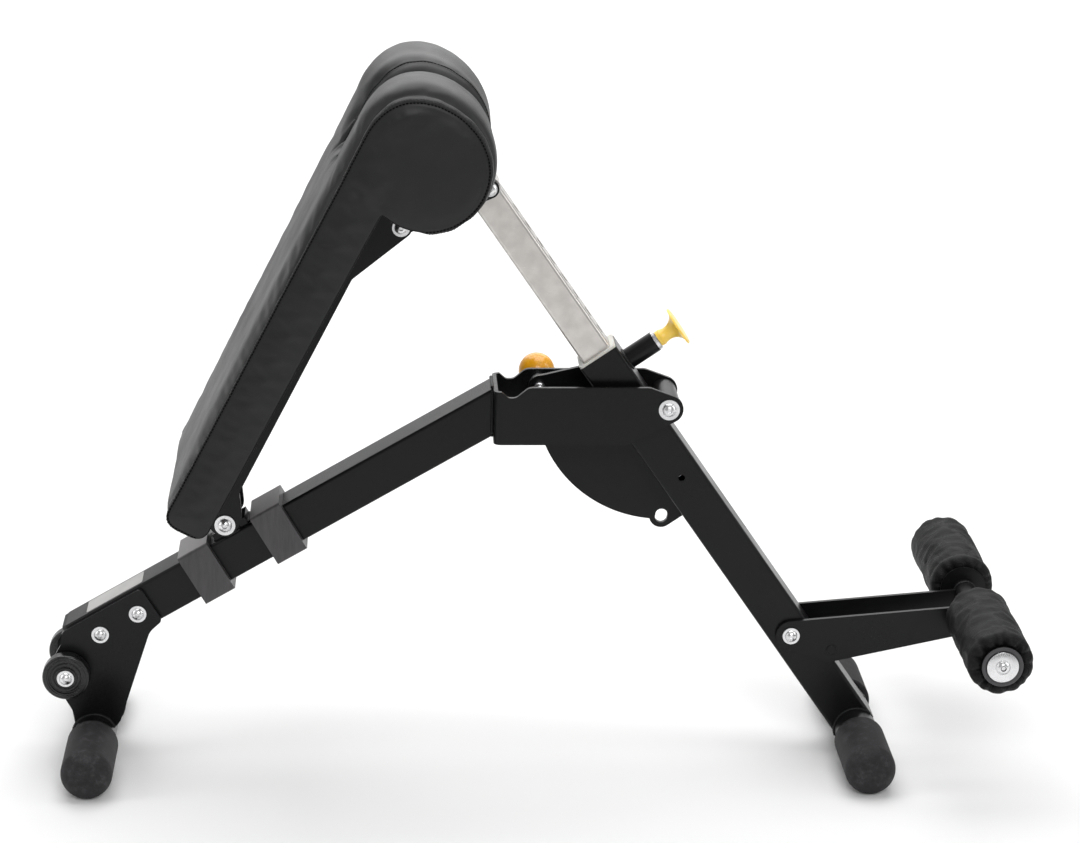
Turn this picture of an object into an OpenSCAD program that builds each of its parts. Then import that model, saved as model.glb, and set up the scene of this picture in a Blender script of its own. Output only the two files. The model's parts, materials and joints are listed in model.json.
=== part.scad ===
// Adjustable decline sit up bench with folding rear leg, telescoping post,
// transport wheels and a fold-away pair of foot rollers.
// +X runs from the wheels to the foot rollers, +Z is up, the floor is Z = 0.

/* [Frame] */
// Height of the rear leg's hinge above the floor
pivot_h = 445; // [440:1:450]
// Side of the square frame tube
tube_a = 50.8; // [50:0.2:51]
// Wall of the square frame tube
tube_t = 2.5; // [2:0.5:4]
// Slope of the main beam
beam_ang = 30.3; // [30:0.1:30.6]
// Length of the main beam
beam_len = 577; // [560:1:580]
// Slope of the rear leg
leg_ang = 55.3; // [55:0.1:55.6]
// Distance from the leg's hinge to the leg's centre line
leg_off = 36; // [36:0.5:37]

/* [Feet] */
// Overall width over the rubber feet
foot_w = 336; // [300:2:360]
// Diameter of the cross tubes
foot_d = 50.8; // [50:0.2:51]
// Diameter of the rubber foot caps
cap_d = 61; // [60:0.5:62]

/* [Pad] */
// Width of the pad
pad_w = 300; // [280:2:304]
// Thickness of the pad
pad_t = 54; // [45:0.5:56]
// Slope of the pad in its steepest place
pad_ang = 62.2; // [62:0.1:62.4]
// Radius of the bolster
bolster_r = 81; // [76:0.5:82]
// Width of the hollow between the bolster halves
valley_w = 64; // [64:1:70]

/* [Adjustment] */
// Side of the chrome post
post_a = 38.1; // [38:0.1:38.2]
// Spacing of the post's slots
slot_pitch = 25.4; // [25:0.2:25.4]
// Number of slots in the post
slot_n = 10; // [8:1:10]

/* [Foot rollers] */
// Diameter of a foam roller
roller_d = 76; // [70:1:80]
// Length of a foam roller
roller_len = 166.4; // [150:0.2:168]
// Diameter of the roller axle
axle_d = 25.4; // [25:0.1:25.6]

/* [Wheels] */
// Diameter of a transport wheel
wheel_d = 56; // [50:1:57]
// Width of a transport wheel
wheel_w = 18; // [14:0.5:18.5]

/* [Hidden] */
$fn = 48;

th = tube_a / 2;
pivot_x = 163.5;
eps = 0.01;

// leg hinge is the origin of the side view used below
module P() translate([pivot_x, 0, pivot_h]) children();
// along the beam: x runs up the beam, 0 where it meets the bracket
beam_x = -207; beam_z = -8.5;
module BEAM() P() translate([beam_x, 0, beam_z]) rotate([0, -beam_ang, 0]) children();
// along the leg: x runs down the leg from the hinge, z to its upper face
module LEG() P() rotate([0, leg_ang, 0]) children();
// along the pad: x runs up the pad from its hinge, z out of its front face
pad_x = -525; pad_z = -147;
module PAD() P() translate([pad_x, 0, pad_z]) rotate([0, -pad_ang, 0]) children();

lc = cos(leg_ang); ls = sin(leg_ang);
// side view position of a point given along and off the leg
function leg_pt(x, z) = [x * lc + z * ls, -x * ls + z * lc];

// ---------- helpers ----------
// side view outline (x, z) made solid between two y values
module xz(y0, y1) translate([0, y1, 0]) rotate([90, 0, 0]) linear_extrude(y1 - y0) children();
// cylinder along y
module ycyl(r, y0, y1) translate([0, y1, 0]) rotate([90, 0, 0]) cylinder(r = r, h = y1 - y0);
module rsq(a, r) union() {
  square([a - 2 * r, a], center = true);
  square([a, a - 2 * r], center = true);
  for (i = [-1, 1], j = [-1, 1]) translate([i * (a / 2 - r), j * (a / 2 - r)]) circle(r = r);
}
// square tube along x
module sq_tube(x0, x1, a, t, r) translate([x0, 0, 0]) rotate([90, 0, 90]) linear_extrude(x1 - x0)
  difference() { rsq(a, r); rsq(a - 2 * t, r * 0.5); }
module sq_bar(x0, x1, a, r) translate([x0, 0, 0]) rotate([90, 0, 90]) linear_extrude(x1 - x0) rsq(a, r);
// two circles joined by their outer tangents; p = [x, z, r]
function arc_pts(c, a0, a1, n) = [for (i = [0:n]) [c[0] + c[2] * cos(a0 + (a1 - a0) * i / n), c[1] + c[2] * sin(a0 + (a1 - a0) * i / n)]];
module tang(p, q) {
  dx = q[0] - p[0]; dz = q[1] - p[1];
  a = atan2(dz, dx); b = acos((p[2] - q[2]) / sqrt(dx * dx + dz * dz));
  polygon(concat(arc_pts(q, a - b, a + b, 20), arc_pts(p, a + b, a + 360 - b, 24)));
}
// outline with rounded corners; each corner is [x, z, radius]
function unit2(v) = v / norm(v);
function corner(a, v, b) = let (
    u = unit2([a[0] - v[0], a[1] - v[1]]), w = unit2([b[0] - v[0], b[1] - v[1]]),
    h = acos(max(-1, min(1, u * w))) / 2, r = max(v[2], 0.01),
    c = [v[0], v[1]] + unit2(u + w) * r / sin(h),
    s = [v[0], v[1]] + u * r / tan(h) - c, e = [v[0], v[1]] + w * r / tan(h) - c,
    a0 = atan2(s[1], s[0]), d0 = atan2(e[1], e[0]) - a0,
    d = d0 > 180 ? d0 - 360 : d0 < -180 ? d0 + 360 : d0, n = max(2, ceil(abs(d) / 6)))
  [for (i = [0:n]) c + r * [cos(a0 + d * i / n), sin(a0 + d * i / n)]];
module outline(p) polygon([for (i = [0:len(p) - 1]) each p[i][2] > 0 ?
  corner(p[(i + len(p) - 1) % len(p)], p[i], p[(i + 1) % len(p)]) : [[p[i][0], p[i][1]]]]);
// button head screw, head towards -y, bearing face at y = 0, with a wide washer under it
module button(r_sh, len, r_head, h_head, r_wash, t_wash) union() {
  difference() {
    union() {
      intersection() {
        translate([0, 0, 0]) ycyl(r_head, -t_wash - h_head, -t_wash);
        translate([0, (r_head * r_head - h_head * h_head) / (2 * h_head) - t_wash, 0])
          sphere(r = (r_head * r_head + h_head * h_head) / (2 * h_head));
      }
      ycyl(r_wash, -t_wash, 0);
    }
    translate([0, -t_wash - h_head - 1, 0]) rotate([-90, 0, 0]) cylinder(r = r_head * 0.38, h = h_head * 0.6 + 1, $fn = 6);
  }
  ycyl(r_sh, -t_wash - 0.5, len);
}
// domed nut, bearing face at y = 0, dome towards +y
module cap_nut(r_bore, r_wash, t_wash, r_hex, h) difference() {
  union() {
    ycyl(r_wash, 0, t_wash);
    translate([0, t_wash, 0]) rotate([-90, 0, 0]) cylinder(r = r_hex, h = h * 0.55, $fn = 6);
    translate([0, t_wash + h * 0.45, 0]) intersection() {
      sphere(r = r_hex * 0.84);
      ycyl(r_hex * 0.84, 0, h * 0.62);
    }
  }
  ycyl(r_bore, -1, t_wash + h * 0.6);
}
// plain hex nut along y with its washer
module hex_nut(r_bore, r_hex, h) difference() {
  rotate([-90, 0, 0]) cylinder(r = r_hex, h = h, $fn = 6);
  ycyl(r_bore, -1, h + 1);
}
// closed coil along z
function coil_pt(r, p, n, i, k) = let (a = 360 * i / k) [r * cos(a), r * sin(a), p * i / k];
module coil(r, w, h, n) {
  k = 14; m = n * k; s = 6;
  p = (h - w) / n;
  pts = [for (i = [0:m]) let (a = 360 * i / k, c = coil_pt(r, p, n, i, k))
    for (j = [0:s - 1]) let (b = 360 * j / s)
      [c[0] + w / 2 * cos(b) * cos(a), c[1] + w / 2 * cos(b) * sin(a), c[2] + w / 2 + w / 2 * sin(b)]];
  fc = concat([[for (j = [0:s - 1]) j]],
    [for (i = [0:m - 1]) for (j = [0:s - 1]) [i * s + j, (i + 1) * s + j, (i + 1) * s + (j + 1) % s, i * s + (j + 1) % s]],
    [[for (j = [s - 1:-1:0]) m * s + j]]);
  polyhedron(points = pts, faces = fc, convexity = 8);
}

// ---------- positions in the side view ----------
br_in = 37; br_out = 42;                 // bracket side plates
hinge_bolt_r = 6;
fit = 0.05;
lock_h = [-151, 12.4];                   // lock pin
fold_ang = 94.4;
front_foot = [-686, -(pivot_h - 29.5)];
rear_x = (pivot_h - 29.5 - 37 * lc) / ls;
rear_foot = leg_pt(rear_x, -37);
arm_s = 329;                             // arm hinge along the leg
arm_p = leg_pt(arm_s, -leg_off);
roll_p = [380, -258.5];
wheel_p = [-717, -334];
post_top = -325; post_bot = 75;
head_p = [-337, -27];                    // link hole, along and off the leg
link_l = [419.4, -14.3];                 // link bolt, along and off the pad
slot_0 = -296.4;
pin_s = slot_0 + 9 * 25.4;
gb_n = -3;                               // gusset bolts off the beam's centre line
gb_s = [-545, -492.6];
col_1 = -415; col_2 = -315; col_len = 40; col_t = 8.1; col_w = 35;

// ---------- base ----------
module main_beam() color("#1b1b1d") difference() {
  union() {
    BEAM() difference() {
      sq_tube(-beam_len, 30, tube_a, tube_t, 3.5);
      for (s = gb_s) translate([s, 0, gb_n]) ycyl(5, -40, 40);
    }
  }
  // rear end cut square to the bracket's upright web
  P() translate([beam_x, -60, -150]) cube([120, 120, 300]);
}

module beam_end_cap() color("#151516") BEAM() union() {
  sq_bar(-beam_len - 5, -beam_len, tube_a - 0.4, 6);
  sq_bar(-beam_len, -beam_len + 14, tube_a - 2 * tube_t - 0.1, 1.5);
}

module bracket_side() outline([[-198, -44, 0], [-48, -44, 8], [17, -10.3, 16.5], [17, 11.8, 16.5], [-23, 26.6, 14],
  [-166, 26.6, 12], [-181, 14, 10], [-190, 14, 6], [-198, 21, 0]]);
// plan view of the web with its two bends
module bracket_web() {
  ro = 9; ri = 4;
  polygon(concat(
    [for (i = [0:8]) [-198 - ro * sin(i * 11.25), -br_out + ro - ro * cos(i * 11.25)]],
    [for (i = [8:-1:0]) [-198 - ro * sin(i * 11.25), br_out - ro + ro * cos(i * 11.25)]],
    [for (i = [0:8]) [-198 - ri * sin(i * 11.25), br_in - ri + ri * cos(i * 11.25)]],
    [for (i = [8:-1:0]) [-198 - ri * sin(i * 11.25), -br_in + ri - ri * cos(i * 11.25)]]));
}
module centre_bracket() color("#1b1b1d") P() difference() {
  union() {
    for (j = [-1, 1]) xz(j > 0 ? br_in : -br_out, j > 0 ? br_out : -br_in) bracket_side();
    translate([0, 0, -44]) linear_extrude(65) bracket_web();
  }
  ycyl(hinge_bolt_r + fit, -60, 60);
  translate([lock_h[0], 0, lock_h[1]]) ycyl(9, 20, 60);
}

module gusset_side() difference() {
  outline([[-722, -283.5, 9], [-626.5, -227.7, 6], [-601.5, -268.5, 6], [-617, -283, 22], [-654.5, -398, 3], [-662, -408, 4],
    [-708, -408, 4], [-712, -384, 8], [-733.5, -345, 14], [-733.5, -318, 14], [-724, -300, 10]]);
  translate([front_foot[0], front_foot[1]]) circle(r = foot_d / 2);
  translate([wheel_p[0], wheel_p[1]]) circle(r = 6);
}
module front_gusset(j) color("#1b1b1d") difference() {
  P() xz(j > 0 ? th : -th - 6, j > 0 ? th + 6 : -th) gusset_side();
  BEAM() for (s = gb_s) translate([s, 0, gb_n]) ycyl(5, -40, 40);
}
module front_gusset_near() front_gusset(-1);
module front_gusset_far() front_gusset(1);

module gusset_bolts() color("#d8d8da") BEAM() for (s = gb_s) translate([s, -th - 6, gb_n])
  button(5, 2 * th + 12 + 7.4, 7.6, 5, 10.4, 1.8);
module gusset_nuts() color("#d8d8da") BEAM() for (s = gb_s) translate([s, th + 6, gb_n])
  cap_nut(5, 10.4, 1.8, 8, 10);

module foot_tube(p) P() translate([p[0], 0, p[1]]) difference() {
  ycyl(foot_d / 2, -foot_w / 2 + 12, foot_w / 2 - 12);
  ycyl(foot_d / 2 - 2.5, -foot_w, foot_w);
}
module front_foot_tube() color("#1b1b1d") foot_tube(front_foot);
module rear_foot_tube() color("#1b1b1d") foot_tube(rear_foot);
// rubber cap with a domed end and a small flat on the floor
cap_y = foot_w / 2;
module foot_cap(p, j) P() translate([p[0], 0, p[1]]) mirror([0, j > 0 ? 1 : 0, 0]) difference() {
  rotate([90, 0, 0]) rotate_extrude($fn = 96) polygon(concat(
    [[0, 60], [cap_d / 2 - 1.5, 60], [cap_d / 2, 61.5]],
    [for (i = [0:12]) [cap_d / 2 - 20 + 20 * cos(i * 7.5), cap_y - 20 + 20 * sin(i * 7.5)]],
    [[0, cap_y]]));
  ycyl(foot_d / 2, 12 - cap_y, 0);
  translate([-50, -foot_w, -cap_d]) cube([100, foot_w, cap_d - 29.5]);
}
module front_foot_cap_near() color("#3b3a3c") foot_cap(front_foot, -1);
module front_foot_cap_far() color("#3b3a3c") foot_cap(front_foot, 1);
module rear_foot_cap_near() color("#3b3a3c") foot_cap(rear_foot, -1);
module rear_foot_cap_far() color("#3b3a3c") foot_cap(rear_foot, 1);

// rubber block around the beam
module bumper(s) color("#3b3a3c") BEAM() translate([s, 0, 0]) rotate([90, 0, 90]) linear_extrude(col_len) difference() {
  union() {
    square([2 * col_w - 6, tube_a + 2 * col_t], center = true);
    square([2 * col_w, tube_a + 2 * col_t - 6], center = true);
    for (i = [-1, 1], j = [-1, 1]) translate([i * (col_w - 3), j * (th + col_t - 3)]) circle(r = 3);
  }
  rsq(tube_a, 3.5);
}
module lower_bumper() bumper(col_1);
module upper_bumper() bumper(col_2);

// barrel on the beam that carries the pad's hinge bolt
module pad_pivot_barrel() color("#1b1b1d") difference() {
  union() {
    P() translate([pad_x, 0, pad_z]) ycyl(14, -26, 26);
    BEAM() translate([-367, -20, th]) cube([45, 40, 9]);
    BEAM() translate([-353, -24, th]) cube([20, 48, 12]);
  }
  P() translate([pad_x, 0, pad_z]) ycyl(9 + fit, -60, 60);
  BEAM() translate([-500, -60, 0]) cube([300, 120, th]);
}
module pad_pivot_bushes() color("#c9c9c4") P() translate([pad_x, 0, pad_z]) for (j = [-1, 1]) translate([0, j * 16, 0])
  difference() { ycyl(9, -10, 10); ycyl(hinge_bolt_r + fit, -20, 20); }
module pad_pivot_bolt() color("#d8d8da") P() translate([pad_x, -33.8, pad_z]) button(hinge_bolt_r, 33.8 + 31.8 + 9, 8.6, 5.5, 9, 0.6);
module pad_pivot_nut() color("#d8d8da") P() translate([pad_x, 33.8, pad_z]) cap_nut(hinge_bolt_r, 9, 0.6, 9, 11);
// cupped washers under the head and the nut
module pad_pivot_washers() color("#c4c4c6") P() translate([pad_x, 0, pad_z]) for (j = [-1, 1]) difference() {
  ycyl(12.3, j > 0 ? 31.8 : -33.8, j > 0 ? 33.8 : -31.8);
  ycyl(hinge_bolt_r, -60, 60);
}

module leg_pivot_bolt() color("#d8d8da") P() translate([0, -br_out, 0]) button(hinge_bolt_r, 2 * br_out + 8.4, 8.6, 5.5, 12.4, 2.2);
module leg_pivot_nut() color("#d8d8da") P() translate([0, br_out, 0]) cap_nut(hinge_bolt_r, 12.4, 2.2, 9.5, 11);

module wheel(j) color("#2a2a2c") P() translate([wheel_p[0], 0, wheel_p[1]]) mirror([0, j > 0 ? 1 : 0, 0])
  rotate([90, 0, 0]) rotate_extrude($fn = 96) translate([0, 34]) difference() {
    union() {
      translate([6.05, 0]) square([wheel_d / 2 - 9.05, wheel_w]);
      translate([wheel_d / 2 - 6, 3]) square([6, wheel_w - 6]);
      translate([wheel_d / 2 - 3, 3]) circle(r = 3);
      translate([wheel_d / 2 - 3, wheel_w - 3]) circle(r = 3);
    }
    translate([12.5, wheel_w - 2]) square([8, 5]);
    translate([12.5, -3]) square([8, 5]);
  }
module wheel_near() wheel(-1);
module wheel_far() wheel(1);
module wheel_bolts() color("#d8d8da") P() for (j = [-1, 1]) mirror([0, j > 0 ? 1 : 0, 0])
  translate([wheel_p[0], -52.4, wheel_p[1]]) difference() {
    union() {
      button(6, 52.4 - 13, 7.8, 5, 10.2, 1.8);
      // shoulder washer against the gusset
      ycyl(9.5, 52.4 - 33.6, 52.4 - 31.4);
    }
  }
module wheel_nuts() color("#b9b9bb") P() for (j = [-1, 1]) mirror([0, j > 0 ? 1 : 0, 0])
  translate([wheel_p[0], -th, wheel_p[1]]) hex_nut(6, 10, 9);

// ---------- rear leg ----------
module rear_leg() color("#1b1b1d") difference() {
  LEG() translate([0, 0, -leg_off]) difference() {
    sq_tube(-95.5, rear_x + 1, tube_a, tube_t, 3.5);
    // pull pin hole in the upper wall
    translate([pin_s, 0, 0]) cylinder(r = 6, h = 60);
    // arm hinge sleeve
    translate([arm_s, 0, 0]) ycyl(9, -60, 60);
    // cross hole below the hinge
    translate([85.5, 0, 0]) ycyl(4, -60, 60);
  }
  // saddle over the rear cross tube
  P() translate([rear_foot[0], 0, rear_foot[1]]) ycyl(foot_d / 2, -60, 60);
}

module leg_pivot_barrel() color("#1b1b1d") LEG() difference() {
  ycyl(15, -br_in + 0.6, br_in - 0.6);
  ycyl(9 + fit, -60, 60);
  translate([-40, -th, -40]) cube([80, tube_a, 40 - leg_off + th]);
}
module leg_pivot_bushes() color("#c9c9c4") P() for (j = [-1, 1]) translate([0, j * 26, 0])
  difference() { ycyl(9 + fit, -10, 10); ycyl(hinge_bolt_r + fit, -20, 20); }

// quarter disc that the lock pin enters in use and when folded
lock_r = sqrt(lock_h[0] * lock_h[0] + lock_h[1] * lock_h[1]);
lock_a = atan2(lock_h[1], lock_h[0]);
lock_2 = [lock_r * cos(lock_a + fold_ang), lock_r * sin(lock_a + fold_ang)];
fan_a = leg_pt(-88, -leg_off - th);
fan_b = leg_pt(137, -leg_off - th);
module lock_fan_plate() color("#1b1b1d") P() difference() {
  xz(12, 18) union() {
    polygon(concat([fan_b, fan_a, [lock_h[0] - 3, lock_h[1] + 12]],
      [for (i = [0:30]) let (a = lock_a + 3 + (fold_ang - 3) * i / 30) [155.5 * cos(a), 155.5 * sin(a)]]));
    tang([lock_h[0], lock_h[1], 13], [fan_a[0] - 4, fan_a[1] - 9, 5]);
    tang([lock_2[0], lock_2[1], 14.5], [fan_b[0] - 7, fan_b[1] + 3, 8]);
  }
  translate([lock_h[0], 0, lock_h[1]]) ycyl(6.5, 0, 30);
  // oblong hole for the folded place
  translate([lock_2[0], 0, lock_2[1] - 1]) ycyl(7.4, 0, 30);
  translate([lock_2[0] + 0.4, 0, lock_2[1] + 1.6]) ycyl(7.4, 0, 30);
  // edge follows the leg's lower face
  rotate([0, leg_ang, 0]) translate([-300, -60, -leg_off - th]) cube([700, 120, 200]);
}
// rounded nose of the lock pin, seen through the quarter disc
module lock_pin_nose() color("#b9b9bb") P() translate([lock_h[0], 0, lock_h[1]]) union() {
  ycyl(6.5, 6, 18);
  translate([0, 6, 0]) intersection() { sphere(r = 6.5); ycyl(6.5, -7, 0.5); }
}

module post_guide_bush() color("#e4e2dc") LEG() translate([0, 0, -leg_off]) difference() {
  union() {
    sq_bar(-95.5, -35, tube_a - 2 * tube_t, 1.75);
    sq_bar(-98.5, -95.5, tube_a - 1.2, 4);
  }
  sq_bar(-120, 0, post_a + 0.15, 4);
  translate([pin_s, 0, 0]) cylinder(r = 6, h = 60);
}

// ---------- telescoping post ----------
module adjust_post() color("#c8c4c0") LEG() translate([0, 0, -leg_off]) difference() {
  sq_tube(post_top, post_bot, post_a, 2.5, 4);
  // slots through the upper wall only
  for (k = [0:slot_n - 1]) translate([slot_0 + k * slot_pitch, 0, 0]) {
    translate([-2.2, 0, 0]) cylinder(r = 4.6, h = 60);
    translate([2.2, 0, 0]) cylinder(r = 4.6, h = 60);
    translate([-2.2, -4.6, 0]) cube([4.4, 9.2, 60]);
  }
}
module post_head() color("#b8b6b4") LEG() difference() {
  union() {
    translate([0, 0, -leg_off]) sq_bar(post_top - 4, post_top, post_a, 4);
    translate([0, 0, -leg_off]) sq_bar(post_top, post_top + 16, post_a - 5.1, 1.9);
    xz(-18, 18) tang([head_p[0], -head_p[1] * -1, 12.5], [post_top - 2, -leg_off + 6, 11]);
  }
  translate([head_p[0], 0, head_p[1]]) ycyl(6, -60, 60);
  // nothing reaches past the post's own walls inside it
  translate([post_top, -60, -leg_off + post_a / 2 - 2.55]) cube([60, 120, 60]);
  translate([post_top, -60, -leg_off - post_a / 2 - 60 + 2.55]) cube([60, 120, 60]);
  translate([post_top, post_a / 2 - 2.55, -leg_off - 60]) cube([60, 60, 120]);
  translate([post_top, -post_a / 2 - 60 + 2.55, -leg_off - 60]) cube([60, 60, 120]);
}
module post_glide() color("#e4e2dc") LEG() translate([0, 0, -leg_off]) difference() {
  union() {
    sq_bar(post_bot - 25, post_bot, post_a - 5.1, 1.9);
    sq_bar(post_bot, post_bot + 8, tube_a - 2 * tube_t - 0.6, 2);
  }
  translate([post_bot - 30, 0, 0]) rotate([0, 90, 0]) cylinder(r = 10, h = 60);
}

// ---------- pull pin ----------
module pull_pin_housing() color("#1b1b1d") LEG() translate([pin_s, 0, -leg_off + th]) difference() {
  cylinder(r = 12.5, h = 39.6);
  translate([0, 0, -1]) cylinder(r = 8.6, h = 60);
}
module pull_pin_nut() color("#dcdcde") LEG() translate([pin_s, 0, -leg_off + th + 39.6]) difference() {
  union() {
    cylinder(r = 12, h = 4);
    translate([0, 0, -4]) cylinder(r = 8.6, h = 5);
  }
  translate([0, 0, -10]) cylinder(r = 5 + fit, h = 30);
}
module pull_pin_plunger() color("#b9b9bb") LEG() translate([pin_s, 0, -leg_off]) difference() {
  union() {
    translate([0, 0, post_a / 2 + 0.4]) cylinder(r = 5, h = 60);
    translate([0, 0, th + 0.4]) cylinder(r = 8.2, h = 4);
  }
}
module pull_pin_knob() color("#f2c53d") LEG() translate([pin_s, 0, -leg_off + th + 44.2]) difference() {
  rotate_extrude($fn = 72) difference() {
    union() {
      square([9.6, 5]);
      translate([0, 4]) square([17, 22]);
      translate([0, 25]) square([22, 4.2]);
      translate([22, 27.1]) circle(r = 2.1);
    }
    translate([23.4, 11.6]) circle(r = 15.2);
    translate([13.5, -3.5]) square([10, 12]);
  }
  translate([0, 0, -1]) cylinder(r = 5, h = 17.85);
}
module pull_pin_spring() color("#9a9a9c") LEG() translate([pin_s, 0, -leg_off + th + 4.5]) coil(6.8, 1.4, 30.6, 6);

// ---------- lock pin ----------
module HL() P() translate([lock_h[0], 0, lock_h[1]]) children();
module lock_pin_housing() color("#b9b9bb") HL() difference() {
  union() {
    ycyl(9, 24, 54);
    ycyl(13, br_out, br_out + 4);
  }
  ycyl(5 + fit, 0, 60);
  ycyl(7, 26, 51);
}
module lock_pin_plunger() color("#b9b9bb") HL() union() {
  ycyl(5, 18.4, 66);
  ycyl(6.7, 26.4, 29.4);
}
module lock_ball_knob() color("#e09a1a") HL() translate([0, 57, 0]) rotate([-90, 0, 0]) rotate_extrude($fn = 96) difference() {
  translate([0, 21]) circle(r = 22);
  translate([-60, -60]) square([60, 200]);
  translate([-1, -60]) square([100, 60]);
  translate([-1, -1]) square([6, 10]);
}
module lock_pin_spring() color("#9a9a9c") HL() translate([0, 29.6, 0]) rotate([-90, 0, 0]) coil(6.05, 1.2, 21.2, 5);

// ---------- pad ----------
pf_in = 26.5; pf_out = 31.5; rail_top = 23.2;
module frame_side() difference() {
  outline([[-15, -15, 15], [16, -15, 14], [44, 3.4, 12], [338, 7, 10], [432.4, -34.1, 13], [432.4, rail_top, 4], [6, rail_top, 5], [-15, 14, 15]]);
  circle(r = hinge_bolt_r + fit);
  translate([link_l[0], link_l[1]]) circle(r = 6);
}
module pad_frame(j) color("#1b1b1d") PAD() xz(j > 0 ? pf_in : -pf_out, j > 0 ? pf_out : -pf_in) frame_side();
module pad_frame_near() pad_frame(-1);
module pad_frame_far() pad_frame(1);
screw_x = [88, 360];
module pad_cross_plates() color("#1b1b1d") PAD() difference() {
  for (x = screw_x) translate([x - 22, -70, rail_top]) cube([44, 140, 3]);
  for (x = screw_x, j = [-1, 1]) translate([x, j * 55, 0]) cylinder(r = 3.3, h = 60);
}
board_x0 = 22; board_x1 = 430; board_z = 26.4;
module pad_board() color("#8a6f4d") PAD() difference() {
  translate([board_x0, -pad_w / 2 + 14, board_z]) cube([board_x1 - board_x0, pad_w - 28, 12]);
  for (x = screw_x, j = [-1, 1]) translate([x, j * 55, 0]) cylinder(r = 2.5, h = 60);
}
module pad_screws() color("#b9b9bb") PAD() for (x = screw_x, j = [-1, 1]) translate([x, j * 55, rail_top]) union() {
  cylinder(r = 2.5, h = 14);
  intersection() {
    translate([0, 0, -3.4]) cylinder(r = 6, h = 3.4);
    translate([0, 0, 4.2]) sphere(r = 7.6);
  }
}
bol = [520.5, 8];
bol_o = [523, 11];
module slab_side() difference() {
  union() {
    polygon([[9, 42], [9, board_z + 40], [22, board_z + pad_t], [470, board_z + pad_t + 1], [520, board_z + pad_t + 6], [520, 10], [446, 12], [440, board_z], [24, board_z]]);
    translate([23, board_z + pad_t - 14]) circle(r = 14);
    translate([24, board_z + 15]) circle(r = 15);
  }
}
module pad_cushion() color("#2c2c2d") PAD() difference() {
  union() {
    xz(-pad_w / 2, pad_w / 2) slab_side();
    for (j = [-1, 1]) translate([bol_o[0], 0, bol_o[1]]) ycyl(bolster_r, j > 0 ? valley_w / 2 : -pad_w / 2, j > 0 ? pad_w / 2 : -valley_w / 2);
    translate([bol[0], 0, bol[1]]) ycyl(62, -valley_w / 2 - 1, valley_w / 2 + 1);
  }
  translate([board_x0, -pad_w / 2 + 14, board_z - 1]) cube([board_x1 - board_x0, pad_w - 28, 13]);
  // hollow for the pad frame's end and the link between the bolster halves
  translate([400, -valley_w / 2, -90]) cube([70, valley_w, 90 + board_z - 0.2]);
  translate([bol[0], 0, bol[1]]) difference() {
    ycyl(140, -valley_w / 2, valley_w / 2);
    ycyl(62, -valley_w, valley_w);
    translate([-200, -60, board_z - bol[1] - 0.2]) cube([200, 120, 200]);
  }
}

// ---------- link between the pad frame and the post ----------
lb_in = 20; lb_out = 25;
pc = cos(pad_ang); ps = sin(pad_ang);
link_w = [pad_x + link_l[0] * pc - link_l[1] * ps, pad_z + link_l[0] * ps + link_l[1] * pc];
head_w = leg_pt(head_p[0], head_p[1]);
module link_bars() color("#1b1b1d") P() for (j = [-1, 1]) difference() {
  xz(j > 0 ? lb_in : -lb_out, j > 0 ? lb_out : -lb_in) difference() {
    tang([link_w[0], link_w[1], 11], [head_w[0], head_w[1], 11]);
    translate([link_w[0], link_w[1]]) circle(r = 6 + fit);
    translate([head_w[0], head_w[1]]) circle(r = 6);
  }
}
// shouldered studs of the link's upper joint
module link_studs() color("#d8d8da") P() for (j = [-1, 1]) mirror([0, j > 0 ? 1 : 0, 0]) translate([head_w[0], -lb_out, head_w[1]])
  button(6, lb_out - lb_in, 7.6, 3.6, 8.6, 0.8);
module link_bolt() color("#d8d8da") PAD() union() {
  translate([link_l[0], -pf_out, link_l[1]]) button(6, 2 * pf_out + 1, 7.8, 5, 10.4, 1.8);
  translate([link_l[0], pf_out, link_l[1]]) cap_nut(0.01, 10.4, 1.8, 8.6, 9);
}

// ---------- foot roller arm ----------
ap_in = 26; ap_out = 31;
module arm_pivot_sleeve() color("#8f8f91") LEG() translate([arm_s, 0, -leg_off]) difference() {
  ycyl(9, -th - 0.3, th + 0.3);
  ycyl(6, -60, 60);
}
module arm_pivot_bolt() color("#d8d8da") P() translate([arm_p[0], 0, arm_p[1]]) union() {
  translate([0, -ap_out - 0.3, 0]) button(6, 2 * ap_out + 1, 7.6, 5, 10.4, 1.8);
  translate([0, ap_out + 0.3, 0]) cap_nut(0.01, 10.4, 1.8, 8.6, 9);
}
stop_p = leg_pt(373, -leg_off + th + 5.35);
module arm_plates() color("#1b1b1d") P() for (j = [-1, 1]) xz(j > 0 ? ap_in : -ap_out, j > 0 ? ap_out : -ap_in) difference() {
  outline([[139.7, -303.9, 18], [205, -326, 8], [397, -284, 13], [397, -251.5, 10], [139.7, -274.3, 18]]);
  translate([arm_p[0], arm_p[1]]) circle(r = 6 + fit);
  translate([roll_p[0], roll_p[1]]) circle(r = axle_d / 2);
  translate([stop_p[0], stop_p[1]]) circle(r = 5);
}
module arm_stop_rod() color("#1b1b1d") P() translate([stop_p[0], 0, stop_p[1]]) ycyl(5, -ap_out - 1.5, ap_out + 1.5);
roll_y0 = 45; roll_y1 = roll_y0 + roller_len + 0.6;
module RL() P() translate([roll_p[0], 0, roll_p[1]]) children();
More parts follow.
